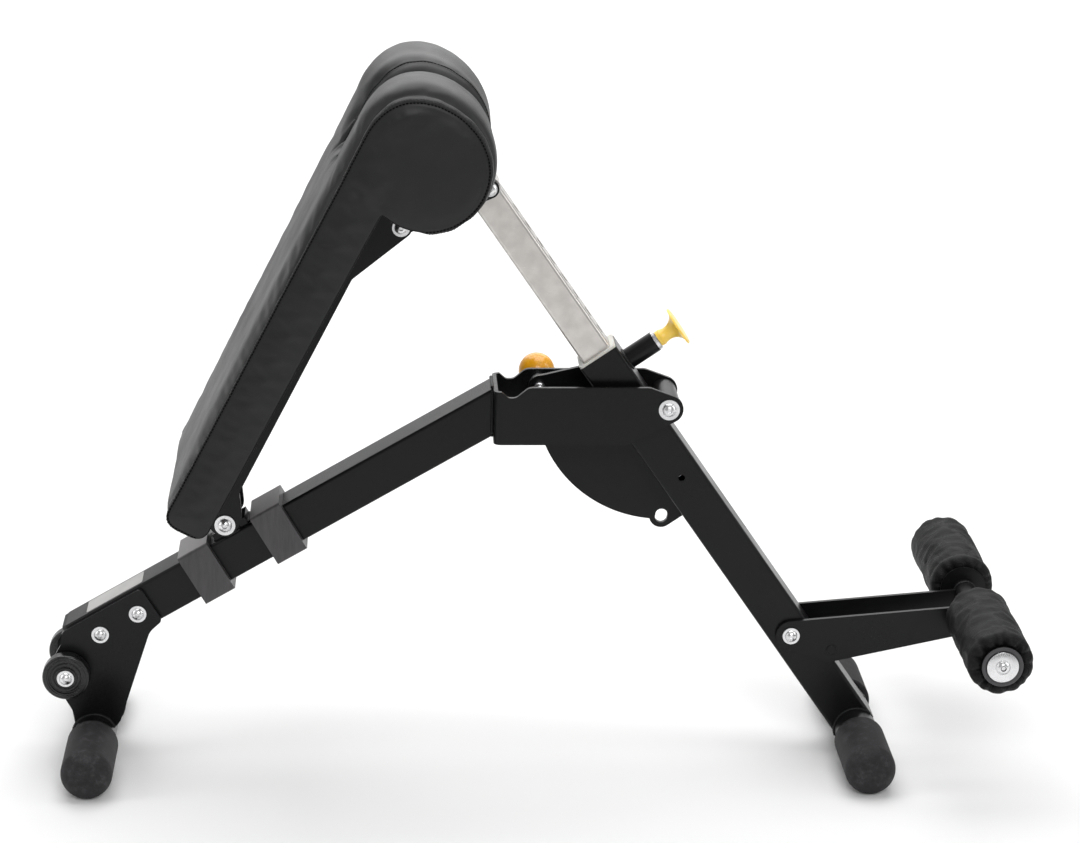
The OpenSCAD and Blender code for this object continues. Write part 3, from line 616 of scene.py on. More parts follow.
def build_pad():
    # walk: underside's upper end, round the lower end, up the front, round the bolster
    r_j = 72.5
    a_j = -180 + math.degrees(math.asin((Z0 - C0.y) / r_j)) * -1
    a_j = -180 - math.degrees(math.asin((Z0 - C0.y) / r_j)) + 0.0
    low = rounded([(C0.x - math.sqrt(r_j ** 2 - (Z0 - C0.y) ** 2), Z0, 0), (XB, Z0, 13), (XB, z_seam(XB), 15), (60, z_seam(60), 0)])
    loop = low[:-1] + [Vector((x, z_seam(x))) for x in np.arange(44, 518, 6.0)]
    for k in range(0, 141):
        th = 90 + (a_j - 90) * k / 140
        r = table(T_S, max(th, -175))
        loop.append(C0 + Vector((math.cos(math.radians(th)), math.sin(math.radians(th)))) * r)
    pts = resample([Vector((p.x, p.y, 0)) for p in loop], 5.4, closed=False)
    pts = [Vector((p.x, p.y)) for p in pts][:-1]
    n = len(pts)
    nor = []
    for i in range(n):
        t = (pts[(i + 1) % n] - pts[(i - 1) % n]).normalized()
        nor.append(Vector((-t.y, t.x)))
    if nor[n // 2].y < 0:
        nor = [-v for v in nor]
    S, G, K, Vv, wgt, val, flat, ang = [], [], [], [], [], [], [], []
    for i, p in enumerate(pts):
        d = p - C0
        th = math.degrees(math.atan2(d.y, d.x))
        on = p.x >= 517.9 or (p.x > 440 and p.y < 70 and not (p.y < Z0 + 1.5 and p.x < 452))
        if on and p.x < 518 and p.y > 0 and th > 90:
            th -= 360
        if on:
            e = Vector((math.cos(math.radians(th)), math.sin(math.radians(th))))
            q = max(th, -175)
            near_j = smooth(a_j + 34, a_j + 2, th)
            s0 = p.copy()
            rs = d.length
            g0 = C0 + e * (rs + (table(T_G, q) - table(T_S, q)) * (1 - near_j))
            k0 = C0 + e * (rs + (table(T_K, q) - table(T_S, q)) * (1 - near_j))
            v0 = C0 + e * (rs + (table(T_V, q) - table(T_S, q)) * (1 - near_j))
            wgt.append(1.0 - 0.9 * near_j)
            val.append(1.0)
            flat.append(0.0)
        else:
            s0 = p.copy()
            if p.y < Z0 + 0.6:
                g0 = k0 = v0 = p.copy()
                wgt.append(0.0)
            elif p.x > 26 and p.y > 60:
                g0 = Vector((p.x, p.y + 1.4 + 1.0 * smooth(430, 518, p.x)))
                k0 = Vector((p.x, z_crown(p.x)))
                v0 = Vector((p.x, p.y + 2.4 * (1 - smooth(460, 518, p.x)) + 2.3 * smooth(460, 518, p.x)))
                wgt.append(1.0)
            else:
                f = smooth(Z0, Z0 + 26, p.y)
                g0 = p + nor[i] * (1.0 * f)
                k0 = p + nor[i] * (1.2 * f + 0.4 * smooth(60, 78, p.y))
                v0 = p + nor[i] * (1.4 * f)
                wgt.append(f)
            val.append(smooth(446, 506, p.x) if p.y > 60 else 0.0)
            flat.append(1.0)
        S.append(s0)
        G.append(g0)
        K.append(k0)
        Vv.append(v0)
        ang.append(th)
    # rows from the end to the middle: y, then how the row is mixed
    end = [(151.0, "S", -5.4), (151.0, "S", -1.9), (148.6, "S", -0.1), (150.6, "S", 1.5), (150.1, "B", 0.34), (147.6, "B", 0.62),
           (144.6, "B", 0.86), (142.2, "G", -0.5), (140.6, "G", -1.7), (139.0, "G", -0.3), (136.2, "C", 0.46), (132.4, "C", 0.80),
           (127.6, "C", 1.05), (121.6, "C", 1.22), (114.5, "C", 1.30), (107.0, "C", 1.32), (99.0, "C", 1.31), (91.0, "C", 1.27),
           (83.0, "C", 1.20), (75.0, "C", 1.12), (67.5, "C", 1.05), (60.5, "V", 0.0), (54.0, "V", 0.05), (48.5, "V", 0.18), (44.0, "V", 0.38),
           (40.6, "V", 0.60), (38.0, "V", 0.78), (36.0, "V", 0.90), (34.4, "V", 0.97), (34.0, "W", -0.6), (33.0, "W", -3.0),
           (32.0, "W", -0.5), (30.6, "W", -0.9), (28.9, "F", 0.03), (26.6, "F", 0.08), (23.8, "F", 0.18), (20.4, "F", 0.38), (16.0, "F", 0.70), (9.0, "F", 1.0)]
    rows_def = [(-y, k, v) for y, k, v in end] + [(0.0, "F", 1.0)] + [(y, k, v) for y, k, v in reversed(end)]
    ys = [r[0] for r in rows_def]
    rows = len(ys)
    floor_r = [(-175, 61.5), (-60, 61.5), (-30, 62.5), (10, 65.5), (60, 66.5), (90, 67.0)]

    def place(i, y, kind, v):
        a = abs(y)
        w = wgt[i]
        if kind == "S":
            if w < 0.05:
                return S[i] + nor[i] * {-5.4: -3.2, -1.9: -1.6, -0.1: -0.9, 1.5: -0.5}[v]
            return S[i] + nor[i] * v * (0.3 + 0.7 * w)
        if kind == "B":
            return S[i].lerp(G[i], v) + nor[i] * (1.5 * math.sin(math.pi * min(1, 0.25 + 0.75 * v)) * w)
        if kind == "G":
            return G[i] + nor[i] * v * w
        c = K[i]
        if kind == "C":
            if v > 1 and flat[i] > 0.5:
                v = 1 + (v - 1) * 0.35
            return G[i] + (K[i] - G[i]) * v
        vv = val[i]
        if kind == "V":
            return K[i].lerp(K[i].lerp(Vv[i], v), vv)
        # in the hollow
        if kind == "W":
            q = Vv[i] + nor[i] * v * (w if flat[i] < 0.5 else 1.0)
            return K[i].lerp(q, smooth(0.0, 0.5, vv))
        if flat[i] < 0.5:
            e = (Vv[i] - C0).normalized()
            th = ang[i]
            fr = table(floor_r, max(th, -175))
            edge = (Vv[i] - C0).length - 1.6
            st = smooth(-50, -85, th)
            vs = v * (1 - st) + min(1.0, 0.55 + v * 6) * st
            q = C0 + e * (edge + (fr - edge) * vs)
            if w < 0.5:
                q = Vv[i].lerp(q, w * 2)
            return q
        if vv > 0:
            depth = (table(floor_r, 90) - (Vv[i] - C0).length) if i < 0 else -13.0
            q = Vv[i] + nor[i] * (-1.6 + depth * v * smooth(0.0, 1.0, vv))
            return K[i].lerp(q, smooth(0.0, 0.5, vv))
        return K[i]

    verts, faces = [], []
    for j, (y, kind, v) in enumerate(rows_def):
        for i in range(n):
            p = place(i, y, kind, v)
            verts.append((p.x, y, p.y))
    idx = lambda j, i: j * n + (i % n)
    for j in range(rows - 1):
        for i in range(n):
            faces.append((idx(j, i), idx(j, i + 1), idx(j + 1, i + 1), idx(j + 1, i)))
    info = dict(n=n, rows=rows, ys=ys, pts=pts, nor=nor, crown=wgt, valley=val, flat=flat, ang=ang, defs=rows_def)
    panel = {-1: [], 1: []}
    for side in (-1, 1):
        j = 0 if side < 0 else rows - 1
        ring = [Vector((verts[idx(j, i)][0], verts[idx(j, i)][2])) for i in range(n)]
        poly = np.array([[p.x, p.y] for p in ring])
        nx = np.roll(poly, -1, 0)

        def dist_in(x, z):
            c = (poly[:, 1] > z) != (nx[:, 1] > z)
            with np.errstate(divide="ignore", invalid="ignore"):
                xi = (nx[:, 0] - poly[:, 0]) * (z - poly[:, 1]) / (nx[:, 1] - poly[:, 1]) + poly[:, 0]
            ins = (np.count_nonzero(c & (x < xi)) % 2) == 1
            e = nx - poly
            t = np.clip(((x - poly[:, 0]) * e[:, 0] + (z - poly[:, 1]) * e[:, 1]) / np.maximum((e ** 2).sum(1), 1e-9), 0, 1)
            d = np.hypot(poly[:, 0] + t * e[:, 0] - x, poly[:, 1] + t * e[:, 1] - z).min()
            return d if ins else -d

        step = 6.6
        inner = []
        for bz, z in enumerate(np.arange(-75, 92, step)):
            for x in np.arange(XB - 2, 600, step):
                xx = x + (step / 2 if bz % 2 else 0)
                d = dist_in(xx, z)
                if d > 3.4:
                    inner.append((Vector((xx, z)), d))
        coords = ring + [p for p, _ in inner]
        edges = [(i, (i + 1) % n) for i in range(n)]
        vo, eo, fo, ov, oe, of_ = delaunay_2d_cdt(coords, edges, [], 1, 1e-5)
        remap = {}
        for q, p in enumerate(vo):
            src = ov[q][0] if ov[q] else None
            if src is not None and src < n:
                remap[q] = idx(j, src)
            else:
                d = inner[src - n][1] if src is not None else 5.0
                remap[q] = len(verts)
                verts.append((p.x, side * (151.0 + 2.4 * (1 - math.exp(-d / 18.0))), p.y))
                panel[side].append(remap[q])
        for f in fo:
            faces.append(tuple(remap[q] for q in f))
    V = [PAD(x, z, y) for (x, y, z) in verts]
    ob = make("pad_upholstery", V, faces)
    fix_normals(ob)
    return ob, info, panel


def pad_coords(ob):
    """pad-frame coordinates (mm) of each vertex"""
    me = ob.data
    co = np.empty(len(me.vertices) * 3)
    me.vertices.foreach_get("co", co)
    co = co.reshape(-1, 3)
    o = np.array(PAD(0, 0))
    ex = np.array(PADX)
    ez = np.array(PADZ)
    d = (co - o) * 1000
    return np.stack([d @ ex, d[:, 1], d @ ez], 1)


def set_pad_coords(ob, pc):
    o = np.array(PAD(0, 0))
    ex = np.array(PADX)
    ez = np.array(PADZ)
    co = o + (pc[:, :1] * ex + pc[:, 2:3] * ez) / 1000
    co[:, 1] = pc[:, 1] / 1000
    ob.data.vertices.foreach_set("co", co.ravel())
    ob.data.update()


pad, info, panel = build_pad()
N, ROWS, YS = info["n"], info["rows"], info["ys"]


def rid(j, i):
    return j * N + (i % N)


# seams hold, the rest swells
pins = {1.0: [], 0.35: []}
for j, (y, kind, v) in enumerate(info["defs"]):
    a = abs(y)
    for i in range(N):
        if info["crown"][i] <= 0.06 or kind in ("S", "B", "G") or (info["valley"][i] > 0.3 and kind in ("W", "F")):
            pins[1.0].append(rid(j, i))
        elif a > 134 or (info["valley"][i] > 0.3 and a < 37):
            pins[0.35].append(rid(j, i))
moved = clothify(pad, pins, frames=16, pressure=5.0, cap=3.0, shrink=-0.010)
print("pad cloth moved max %.2f mean %.2f mm" % moved)

# puckers along the seams, gathers at the start of the valley, folds by the junction
pc = pad_coords(pad)
rng = random.Random(11)
phase = [rng.uniform(0, 6.28) for _ in range(12)]
arc = [0.0]
for i in range(1, N):
    arc.append(arc[-1] + (info["pts"][i] - info["pts"][i - 1]).length)
for j, (y, kind, vk) in enumerate(info["defs"]):
    a = abs(y)
    for i in range(N):
        k = rid(j, i)
        s = arc[i]
        nx, nz = info["nor"][i]
        amp = 0.0
        if kind == "B":
            amp = 0.75
        elif kind == "G":
            amp = 0.35
        elif kind == "S" and vk > 0:
            amp = 0.4
        elif kind == "C" and vk < 0.8:
            amp = 0.22
        elif info["valley"][i] > 0.2 and kind == "W":
            amp = 0.45
        elif info["valley"][i] > 0.2 and 33 < a < 42:
            amp = 0.25
        if info["crown"][i] < 0.1:
            amp *= 0.15
        if info["flat"][i] > 0.5:
            amp *= 0.5
        w = math.sin(s / 3.1 + phase[0] + 1.6 * math.sin(s / 19)) * 0.6 + math.sin(s / 7.3 + phase[1]) * 0.4
        d = amp * w
        # gathers where the valley starts
        x, z = info["pts"][i]
        if z > 60 and 440 < x < 520 and a < 46:
            g = smooth(440, 466, x) * (1 - smooth(496, 520, x)) * (1 - smooth(30, 46, a))
            d += g * 2.6 * math.sin((y + 0.45 * (x - 470)) / 3.6 + phase[2 + (1 if y > 0 else 0)]) * (0.6 + 0.4 * math.sin(x / 7.5 + y / 9))
        pc[k, 0] += nx * d
        pc[k, 2] += nz * d
for side in (-1, 1):
    for k in panel[side]:
        x, y, z = pc[k]
        # folds that run out of the corner under the bolster
        dx, dz = x - 443.0, z - 27.0
        r = math.hypot(dx, dz)
        th = math.degrees(math.atan2(dz, dx))
        f = math.exp(-((r - 26) / 24.0) ** 2)
        d = f * 1.35 * (1.5 * math.exp(-((th - 42) / 12.0) ** 2) - 1.3 * math.exp(-((th - 66) / 12.0) ** 2) + 0.8 * math.exp(-((th - 88) / 14.0) ** 2) - 0.7 * math.exp(-((th - 18) / 12.0) ** 2))
        # long soft waves
        bw = smooth(430, 480, x)
        d += 0.30 * math.sin(x / 57.0 + z / 61.0 + phase[5] + side) + bw * 0.45 * math.sin(x / 17.0 - z / 21.0 + phase[7]) * math.sin(z / 26.0 + phase[6])
        # light dents on the bolster's end
        u1, u2 = (x - 556) * 0.82 + (z - 38) * -0.57, (x - 556) * 0.57 + (z - 38) * 0.82
        d += -1.9 * math.exp(-(u1 / 34.0) ** 2 - (u2 / 11.0) ** 2) + 1.1 * math.exp(-((u1 + 6) / 30.0) ** 2 - ((u2 - 19) / 8.0) ** 2)
        pc[k, 1] += side * d
set_pad_coords(pad, pc)

# stitch paths before the surface is subdivided
raw = np.empty(len(pad.data.vertices) * 3)
pad.data.vertices.foreach_get("co", raw)
raw = raw.reshape(-1, 3)


def ring_path(j, keep):
    segs, cur = [], []
    for i in list(range(N)) + [0]:
        if keep(i % N):
            cur.append(i % N)
        elif cur:
            segs.append(cur)
            cur = []
    if cur:
        segs.append(cur)
    return segs


md = pad.modifiers.new("sub", "SUBSURF")
md.levels = 1
md.render_levels = 1
apply_mods(pad)
pad.data.polygons.foreach_set("use_smooth", [True] * len(pad.data.polygons))

# material: dust cover on the underside's middle
set_mat(pad, M_VINYL, M_DUST)
nd = np.array(PADZ)
for p in pad.data.polygons:
    c = p.center
    q = (c - PAD(0, 0)) * 1000
    x = q.dot(Vector(PADX))
    z = q.dot(Vector(PADZ))
    if z < Z0 + 1.0 and 30 < x < 428 and abs(q.y) < 132:
        p.material_index = 1
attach(pad, "pad")
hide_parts("pad_cushion")

# thread
from mathutils.bvhtree import BVHTree
bvh = BVHTree.FromPolygons([v.co.copy() for v in pad.data.vertices], [tuple(p.vertices) for p in pad.data.polygons])


def stitches(path, pitch=4.0, length=2.6, r=0.80, lift=0.25):
    pts = resample(path, pitch / 1000)
    parts = []
    for a, b in zip(pts, pts[1:]):
        d = (b - a)
        mid = (a + b) / 2
        h = d.normalized() * (length / 2000)
        line = []
        ups = []
        rad = []
        for t in (-1, -0.72, 0, 0.72, 1):
            q = mid + h * t
            loc, nor, _, _ = bvh.find_nearest(q)
            dip = 0.0 if abs(t) < 0.9 else -0.35
            line.append(loc + nor * ((lift + dip) / 1000))
            ups.append(nor)
            rad.append((r if abs(t) < 0.9 else r * 0.55) / 1000)
        parts.append(tube(line, rad, 6, ups=ups))
    return parts


parts = []
for j in (2, ROWS - 3):
    for seg in ring_path(j, lambda i: info["crown"][i] > 0.12):
        if len(seg) > 8:
            parts += stitches([Vector(raw[rid(j, i)]) for i in seg])
for y_s in (-32.0, 32.0):
    j = YS.index(y_s)
    for seg in ring_path(j, lambda i: info["valley"][i] > 0.12 and info["crown"][i] > 0.3):
        if len(seg) > 8:
            parts += stitches([Vector(raw[rid(j, i)]) for i in seg])
# small puckers drawn across the band beside each end seam
tucks = []
rt = random.Random(3)
for j_a, j_b in ((3, 5), (ROWS - 4, ROWS - 6)):
    for seg in ring_path(j_a, lambda i: info["crown"][i] > 0.3):
        if len(seg) < 9:
            continue
        pa = resample([Vector(raw[rid(j_a, i)]) for i in seg], 0.0010)
        pb = [Vector(raw[rid(j_b, i)]) for i in seg]
        fa = [Vector(raw[rid(j_a, i)]) for i in seg]
        m = len(pa)
        k = 4
        while k < m - 4:
            t = k / (m - 1) * (len(fa) - 1)
            q = int(t)
            a = fa[q].lerp(fa[min(q + 1, len(fa) - 1)], t - q)
            b = pb[q].lerp(pb[min(q + 1, len(pb) - 1)], t - q)
            b = a.lerp(b, rt.uniform(0.65, 1.0))
            line, ups, rad = [], [], []
            for g, rr in ((0.0, 0.35), (0.25, 0.85), (0.6, 0.80), (1.0, 0.30)):
                loc, nr, _, _ = bvh.find_nearest(a.lerp(b, g))
                line.append(loc - nr * 0.00035)
                ups.append(nr)
                rad.append(rr / 1000 * rt.uniform(0.85, 1.15))
            tucks.append(tube(line, rad, 8, ups=ups))
            k += rt.choice((3, 4, 4, 5))
tk = join_parts("pad_seam_tucks", tucks)
set_mat(tk, M_VINYL)
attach(tk, "pad")
st = join_parts("pad_stitching", parts)
set_mat(st, M_THREAD)
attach(st, "pad")

# staples round the dust cover
parts = []
for (x0, y0, x1, y1) in ((30, -124, 428, -124), (30, 124, 428, 124), (34, -118, 34, 118), (424, -118, 424, 118)):
    L = math.hypot(x1 - x0, y1 - y0)
    m = int(L / 26)
    for q in range(m + 1):
        t = q / m
        x, y = x0 + (x1 - x0) * t, y0 + (y1 - y0) * t
        ux, uy = (x1 - x0) / L, (y1 - y0) / L
        zz = Z0 - 0.1
        if any(abs(x - sx) < 26 and abs(y) < 74 for sx in (88, 360)) or abs(y) < 36:
            continue
        a = PAD(x - ux * 5, zz + 0.4, y - uy * 5)
        b = PAD(x - ux * 4.6, zz - 0.25, y - uy * 4.6)
        c = PAD(x + ux * 4.6, zz - 0.25, y + uy * 4.6)
        d = PAD(x + ux * 5, zz + 0.4, y + uy * 5)
        parts.append(tube([a, b, c, d], 0.00045, 6))
sp = join_parts("pad_staples", parts)
set_mat(sp, M_STEEL)
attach(sp, "pad")


# ---------------------------------------------------------------- foam rollers
def roller(side, body, node):
    """side -1 near, 1 far; y runs outward from the bench"""
    RX, RZ = 380.0, -258.5
    seg = 128
    r = random.Random(21 + side)
    # pleats at uneven angles
    def pleat_set(count, seed):
        rr = random.Random(seed)
        base = [2 * math.pi * (k + rr.uniform(-0.28, 0.28)) / count for k in range(count)]
        return [(a, rr.uniform(0.55, 1.0), rr.uniform(0.085, 0.15)) for a in base]
    outer = pleat_set(13, 31 + side)
    inner = pleat_set(13, 51 + side)

    def pl(th, ps):
        v = 0.0
        for a, h, w in ps:
            d = (th - a + math.pi) % (2 * math.pi) - math.pi
            v += h * math.exp(-(d / w) ** 2)
        return v
    y0, y1 = 45.6, 211.4
    prof = []   # (y, r, pleat depth along y, pleat depth along r, which)
    inner_p = [(y0 + 6.0, 17.5, 0.6, 0.2), (y0 + 3.8, 20.0, 1.6, 0.3), (y0 + 1.6, 23.0, 3.4, 0.3), (y0 + 0.3, 26.0, 5.0, 0.4),
               (y0 + 0.2, 29.0, 5.2, 1.0), (y0 + 1.2, 32.0, 4.0, 1.9), (y0 + 3.8, 35.0, 2.2, 2.5), (y0 + 7.6, 37.2, 0.6, 2.2),
               (y0 + 12.0, 38.2, 0.0, 1.2)]
    for y, rr, py, pr in inner_p:
        prof.append((y, rr, py, pr, 0))
    k = 34
    for q in range(k):
        t = (q + 0.5) / k
        y = y0 + 17 + (y1 - 17 - y0 - 17) * t
        prof.append((y, 38.0, 0.0, 0.7 * max(0, 1 - t * 4) + 0.7 * max(0, 1 - (1 - t) * 4), 1 if t > 0.5 else 0))
    outer_p = [(y1 - 13.0, 38.0, 0.0, 1.0), (y1 - 8.4, 37.4, 0.5, 2.0), (y1 - 4.6, 35.6, 1.8, 2.6), (y1 - 1.6, 33.0, 3.6, 2.2),
               (y1 + 0.2, 30.0, 5.6, 1.2), (y1 + 0.6, 27.2, 6.4, 0.5), (y1 - 0.6, 25.0, 5.6, 0.2), (y1 - 3.0, 22.0, 2.6, 0.1),
               (y1 - 5.4, 18.0, 0.8, 0.0)]
    for y, rr, py, pr in outer_p:
        prof.append((y, rr, py, pr, 1))
    verts = []
    for y, rad, py, pr, w in prof:
        ps = outer if w else inner
        for q in range(seg):
            th = 2 * math.pi * q / seg
            f = pl(th, ps)
            s = 1 if w else -1
            yy = y - s * py * f
            rr = rad - pr * (f - 0.25)
            # slack in the cloth
            m = (y - y0) / (y1 - y0)
            rr += 0.45 * math.sin(3 * th + 5 * m + side) * math.sin(math.pi * m) + 0.3 * math.sin(7 * th - 9 * m) * math.sin(math.pi * m) ** 2
            rr += 0.16 * math.sin(44 * m + 1.5 * math.sin(2 * th + side)) * math.sin(math.pi * m) * (0.5 + 0.5 * math.sin(2 * th + 7 * m))
            x = RX + rr * math.cos(th)
            z = RZ + rr * math.sin(th)
            verts.append(P(x, z, side * yy))
    faces = []
    R = len(prof)
    for a in range(R - 1):
        for q in range(seg):
            p = (q + 1) % seg
            faces.append((a * seg + q, a * seg + p, (a + 1) * seg + p, (a + 1) * seg + q))
    # the sleeve runs on down the foam's bore, so the form is closed
    rb = 12.9
    o = len(verts)
    for y in (y0 + 6.0, y1 - 5.4):
        for q in range(seg):
            th = 2 * math.pi * q / seg
            verts.append(P(RX + rb * math.cos(th), RZ + rb * math.sin(th), side * y))
    for q in range(seg):
        p = (q + 1) % seg
        faces.append((o + q, o + p, p, q))
        faces.append(((R - 1) * seg + q, (R - 1) * seg + p, o + seg + p, o + seg + q))
        faces.append((o + seg + q, o + seg + p, o + p, o + q))
    ob = make(f"roller_sleeve_{'near' if side < 0 else 'far'}", verts, faces)
    fix_normals(ob)
    pin = {1.0: list(range(0, 2 * seg)) + list(range((R - 2) * seg, R * seg)) + list(range(o, o + 2 * seg)),
           0.5: list(range(2 * seg, 5 * seg)) + list(range((R - 5) * seg, (R - 2) * seg))}
    mv = clothify(ob, pin, frames=12, pressure=3.0, cap=1.3, shrink=-0.03, tension=8)
    print("roller cloth moved max %.2f mean %.2f mm" % mv)
    m = ob.modifiers.new("sub", "SUBSURF")
    m.levels = 1
    m.render_levels = 1
    apply_mods(ob)
    ob.data.polygons.foreach_set("use_smooth", [True] * len(ob.data.polygons))
    set_mat(ob, M_SLEEVE)
    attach(ob, body)
    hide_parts(node)
    # drawstring hem round each mouth
    parts = []
    for ye, ps, s in ((y1 - 3.2, outer, 1), (y0 + 3.4, inner, -1)):
        path = []
        for q in range(150):
            th = 2 * math.pi * q / 150
            f = pl(th, ps)
            rr = (21.0 if s > 0 else 19.4) - 0.5 * f
            path.append(P(RX + rr * math.cos(th), RZ + rr * math.sin(th), side * (ye - s * (1.6 * f - 1.2))))
        rad = [0.0009 * (1 + 0.18 * math.sin(q * 1.9)) for q in range(150)]
        parts.append(tube(path, rad, 8, closed=True, ups=[Vector((0, 1, 0))] * 150))
    h = join_parts(f"roller_hem_{'near' if side < 0 else 'far'}", parts)
    set_mat(h, M_SLEEVE)
    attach(h, body)
    return ob


roller(-1, "roller_near", "foam_roller_near")
roller(1, "roller_far", "foam_roller_far")


# ---------------------------------------------------------------- welds
def bead(path, normals, r=2.3, pitch=2.9, closed=False, name=None):
    """a run of weld: overlapping ripples along the path"""
    pts = resample(path, 0.0006, closed)
    m = len(pts)
    if closed:
        ns = resample([Vector(v) for v in normals], 1e9, False)
    out_v, rad, ups = [], [], []
    for i, p in enumerate(pts):
        t = i / max(1, m - 1)
        k = t * (len(normals) - 1)
        a = int(k)
        b = min(a + 1, len(normals) - 1)
        nn = normals[a].lerp(normals[b], k - a).normalized()
        s = i * 0.6
        ph = (s / pitch) % 1.0
        ripple = 0.86 + 0.22 * (ph ** 0.6) + 0.05 * math.sin(s / 7.1)
        end = 1.0 if closed else min(1.0, 0.45 + min(i, m - 1 - i) / 5.0)
        rad.append(r / 1000 * ripple * end)
        ups.append(nn)
    return tube(pts, rad, 8, closed=closed, ups=ups)


def circle_path(c_x, c_z, rad, y, a0=0, a1=360, n=60):
    path, nor = [], []
    for k in range(n + 1):
        a = math.radians(a0 + (a1 - a0) * k / n)
        path.append(P(c_x + rad * math.cos(a), c_z + rad * math.sin(a), y))
        nor.append(Vector((math.cos(a), 0, math.sin(a))))
    return path, nor


base_w, leg_w, arm_w = [], [], []
for s in (-1, 1):
    p, nn = circle_path(-686, -415.5, 25.6, s * 31.8, 20, 200)
    base_w.append(bead(p, nn, 2.4))
    p, nn = circle_path(380, -258.5, 12.9, s * 31.6, 0, 360)
    arm_w.append(bead(p[:-1], nn[:-1], 1.9, closed=False))
# beam to bracket: round the beam's slanted section
hh = 25.4 / math.cos(BA)
sec = [(-hh, -25.4), (hh, -25.4), (hh, 25.4), (-hh, 25.4)]
path, nn = [], []
zc = -8.5
for (z, y), nv in zip([(-hh + 3, -25.6), (hh - 3, -25.6)], [(-0.5, -1), (-0.5, -1)]):
    path.append(P(-208.2, zc + z, y))
    nn.append(Vector((-0.6, -1, 0)).normalized())
base_w.append(bead(path, nn, 2.2))
base_w.append(bead([Vector((p.x, -p.y, p.z)) for p in path], [Vector((v.x, -v.y, v.z)) for v in nn], 2.2))
base_w.append(bead([P(-208.6, zc + hh + 0.2, -23), P(-208.6, zc + hh + 0.2, 23)], [Vector((-0.6, 0, 1))] * 2, 2.2))
base_w.append(bead([P(-208.4, zc - hh - 0.2, -23), P(-208.4, zc - hh - 0.2, 23)], [Vector((-0.6, 0, -1))] * 2, 2.2))
# pad hinge barrel on the beam
for s in (-1, 1):
    base_w.append(bead([BEAM(-353, 25.6, s * 24.4), BEAM(-333, 25.6, s * 24.4)], [Vector((0, s, 0.6))] * 2, 1.8))
base_w.append(bead([BEAM(-367.2, 25.8, -19.5), BEAM(-367.2, 25.8, 19.5)], [Vector((-0.8, 0, 0.6))] * 2, 2.0))
base_w.append(bead([BEAM(-321.8, 25.8, -19.5), BEAM(-321.8, 25.8, 19.5)], [Vector((0.9, 0, 0.2))] * 2, 2.0))
# leg to the rear cross tube
foot = ((445 - 29.5 - 37 * math.cos(LA)) / math.sin(LA))
for s in (-1, 1):
    path, nn = [], []
    for k in range(41):
        a = math.radians(100 + 158 * k / 40)
        path.append(LEG(foot + 25.7 * math.cos(a), -37 + 25.7 * math.sin(a), s * 25.5))
        v = LEG(math.cos(a), math.sin(a)) - LEG(0, 0)
        nn.append((v.normalized() + Vector((0, s, 0))).normalized())
    leg_w.append(bead(path, nn, 2.3))
# hinge barrel on the leg
for x in (-16.2, 16.2):
    leg_w.append(bead([LEG(x, -10.4, -22), LEG(x, -10.4, 22)], [(LEG(x / 20, 1) - LEG(0, 0)).normalized()] * 2, 1.9))
# lock plate on the leg's lower face
for s, y in ((-1, 11.6), (1, 18.4)):
    leg_w.append(bead([LEG(-80, -61.8, y), LEG(30, -61.8, y)], [(LEG(0, -1) - LEG(0, 0)).normalized() + Vector((0, s, 0))] * 2, 1.7))
    leg_w.append(bead([LEG(70, -61.8, y), LEG(128, -61.8, y)], [(LEG(0, -1) - LEG(0, 0)).normalized() + Vector((0, s, 0))] * 2, 1.7))
# pull pin housing on the leg
path, nn = [], []
c = LEG(-67.8, -10.4)
ex = (LEG(1, 0) - LEG(0, 0)).normalized()
for k in range(61):
    a = 2 * math.pi * k / 60
    d = ex * math.cos(a) + Vector((0, 1, 0)) * math.sin(a)
    path.append(c + d * 0.0127)
    nn.append(d)
leg_w.append(bead(path[:-1], nn[:-1], 1.7))
# arm stop rod ends
for s in (-1, 1):
    cx, cz = (LEG(373, -36 + 25.4 + 5.35) - P(0, 0)) @ Vector((1, 0, 0)) * 1000, (LEG(373, -36 + 25.4 + 5.35) - P(0, 0)) @ Vector((0, 0, 1)) * 1000
    p, nn = circle_path(cx, cz, 5.1, s * 31.4)
    arm_w.append(bead(p[:-1], nn[:-1], 1.2, pitch=2.0))
for nm, parts, body in (("weld_beads_base", base_w, "base"), ("weld_beads_leg", leg_w, "leg"), ("weld_beads_arm", arm_w, "roller_arm")):
    w = join_parts(nm, parts)
    fix_normals(w)
    set_mat(w, M_WELD)
    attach(w, body)


# ---------------------------------------------------------------- blank label on the beam
def label(x0, x1, y0, y1, z, name):
    n, m = 14, 8
    top, V, F = [], [], []
    r = 3.0
    ring = rounded([(x0, y0, r), (x1, y0, r), (x1, y1, r), (x0, y1, r)], 6)
    for dz in (0.02, 0.30):
        for p in ring:
            V.append(BEAM(p.x, z + dz, p.y))
    k = len(ring)
    for i in range(k):
        F.append((i, (i + 1) % k, k + (i + 1) % k, k + i))
    inner = [(p * 0.985 + Vector(((x0 + x1) / 2, (y0 + y1) / 2)) * 0.015) for p in ring]
    for p in inner:
        V.append(BEAM(p.x, z + 0.34, p.y))
    for i in range(k):
        F.append((k + i, k + (i + 1) % k, 2 * k + (i + 1) % k, 2 * k + i))
    F.append(tuple(range(2 * k, 3 * k)))
    ob = make(name, V, F, shade=False)
    fix_normals(ob)
    return ob


lb = label(-548, -470, -19, 19, 25.4, "blank_label_plate")
set_mat(lb, M_LABEL)
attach(lb, "base")


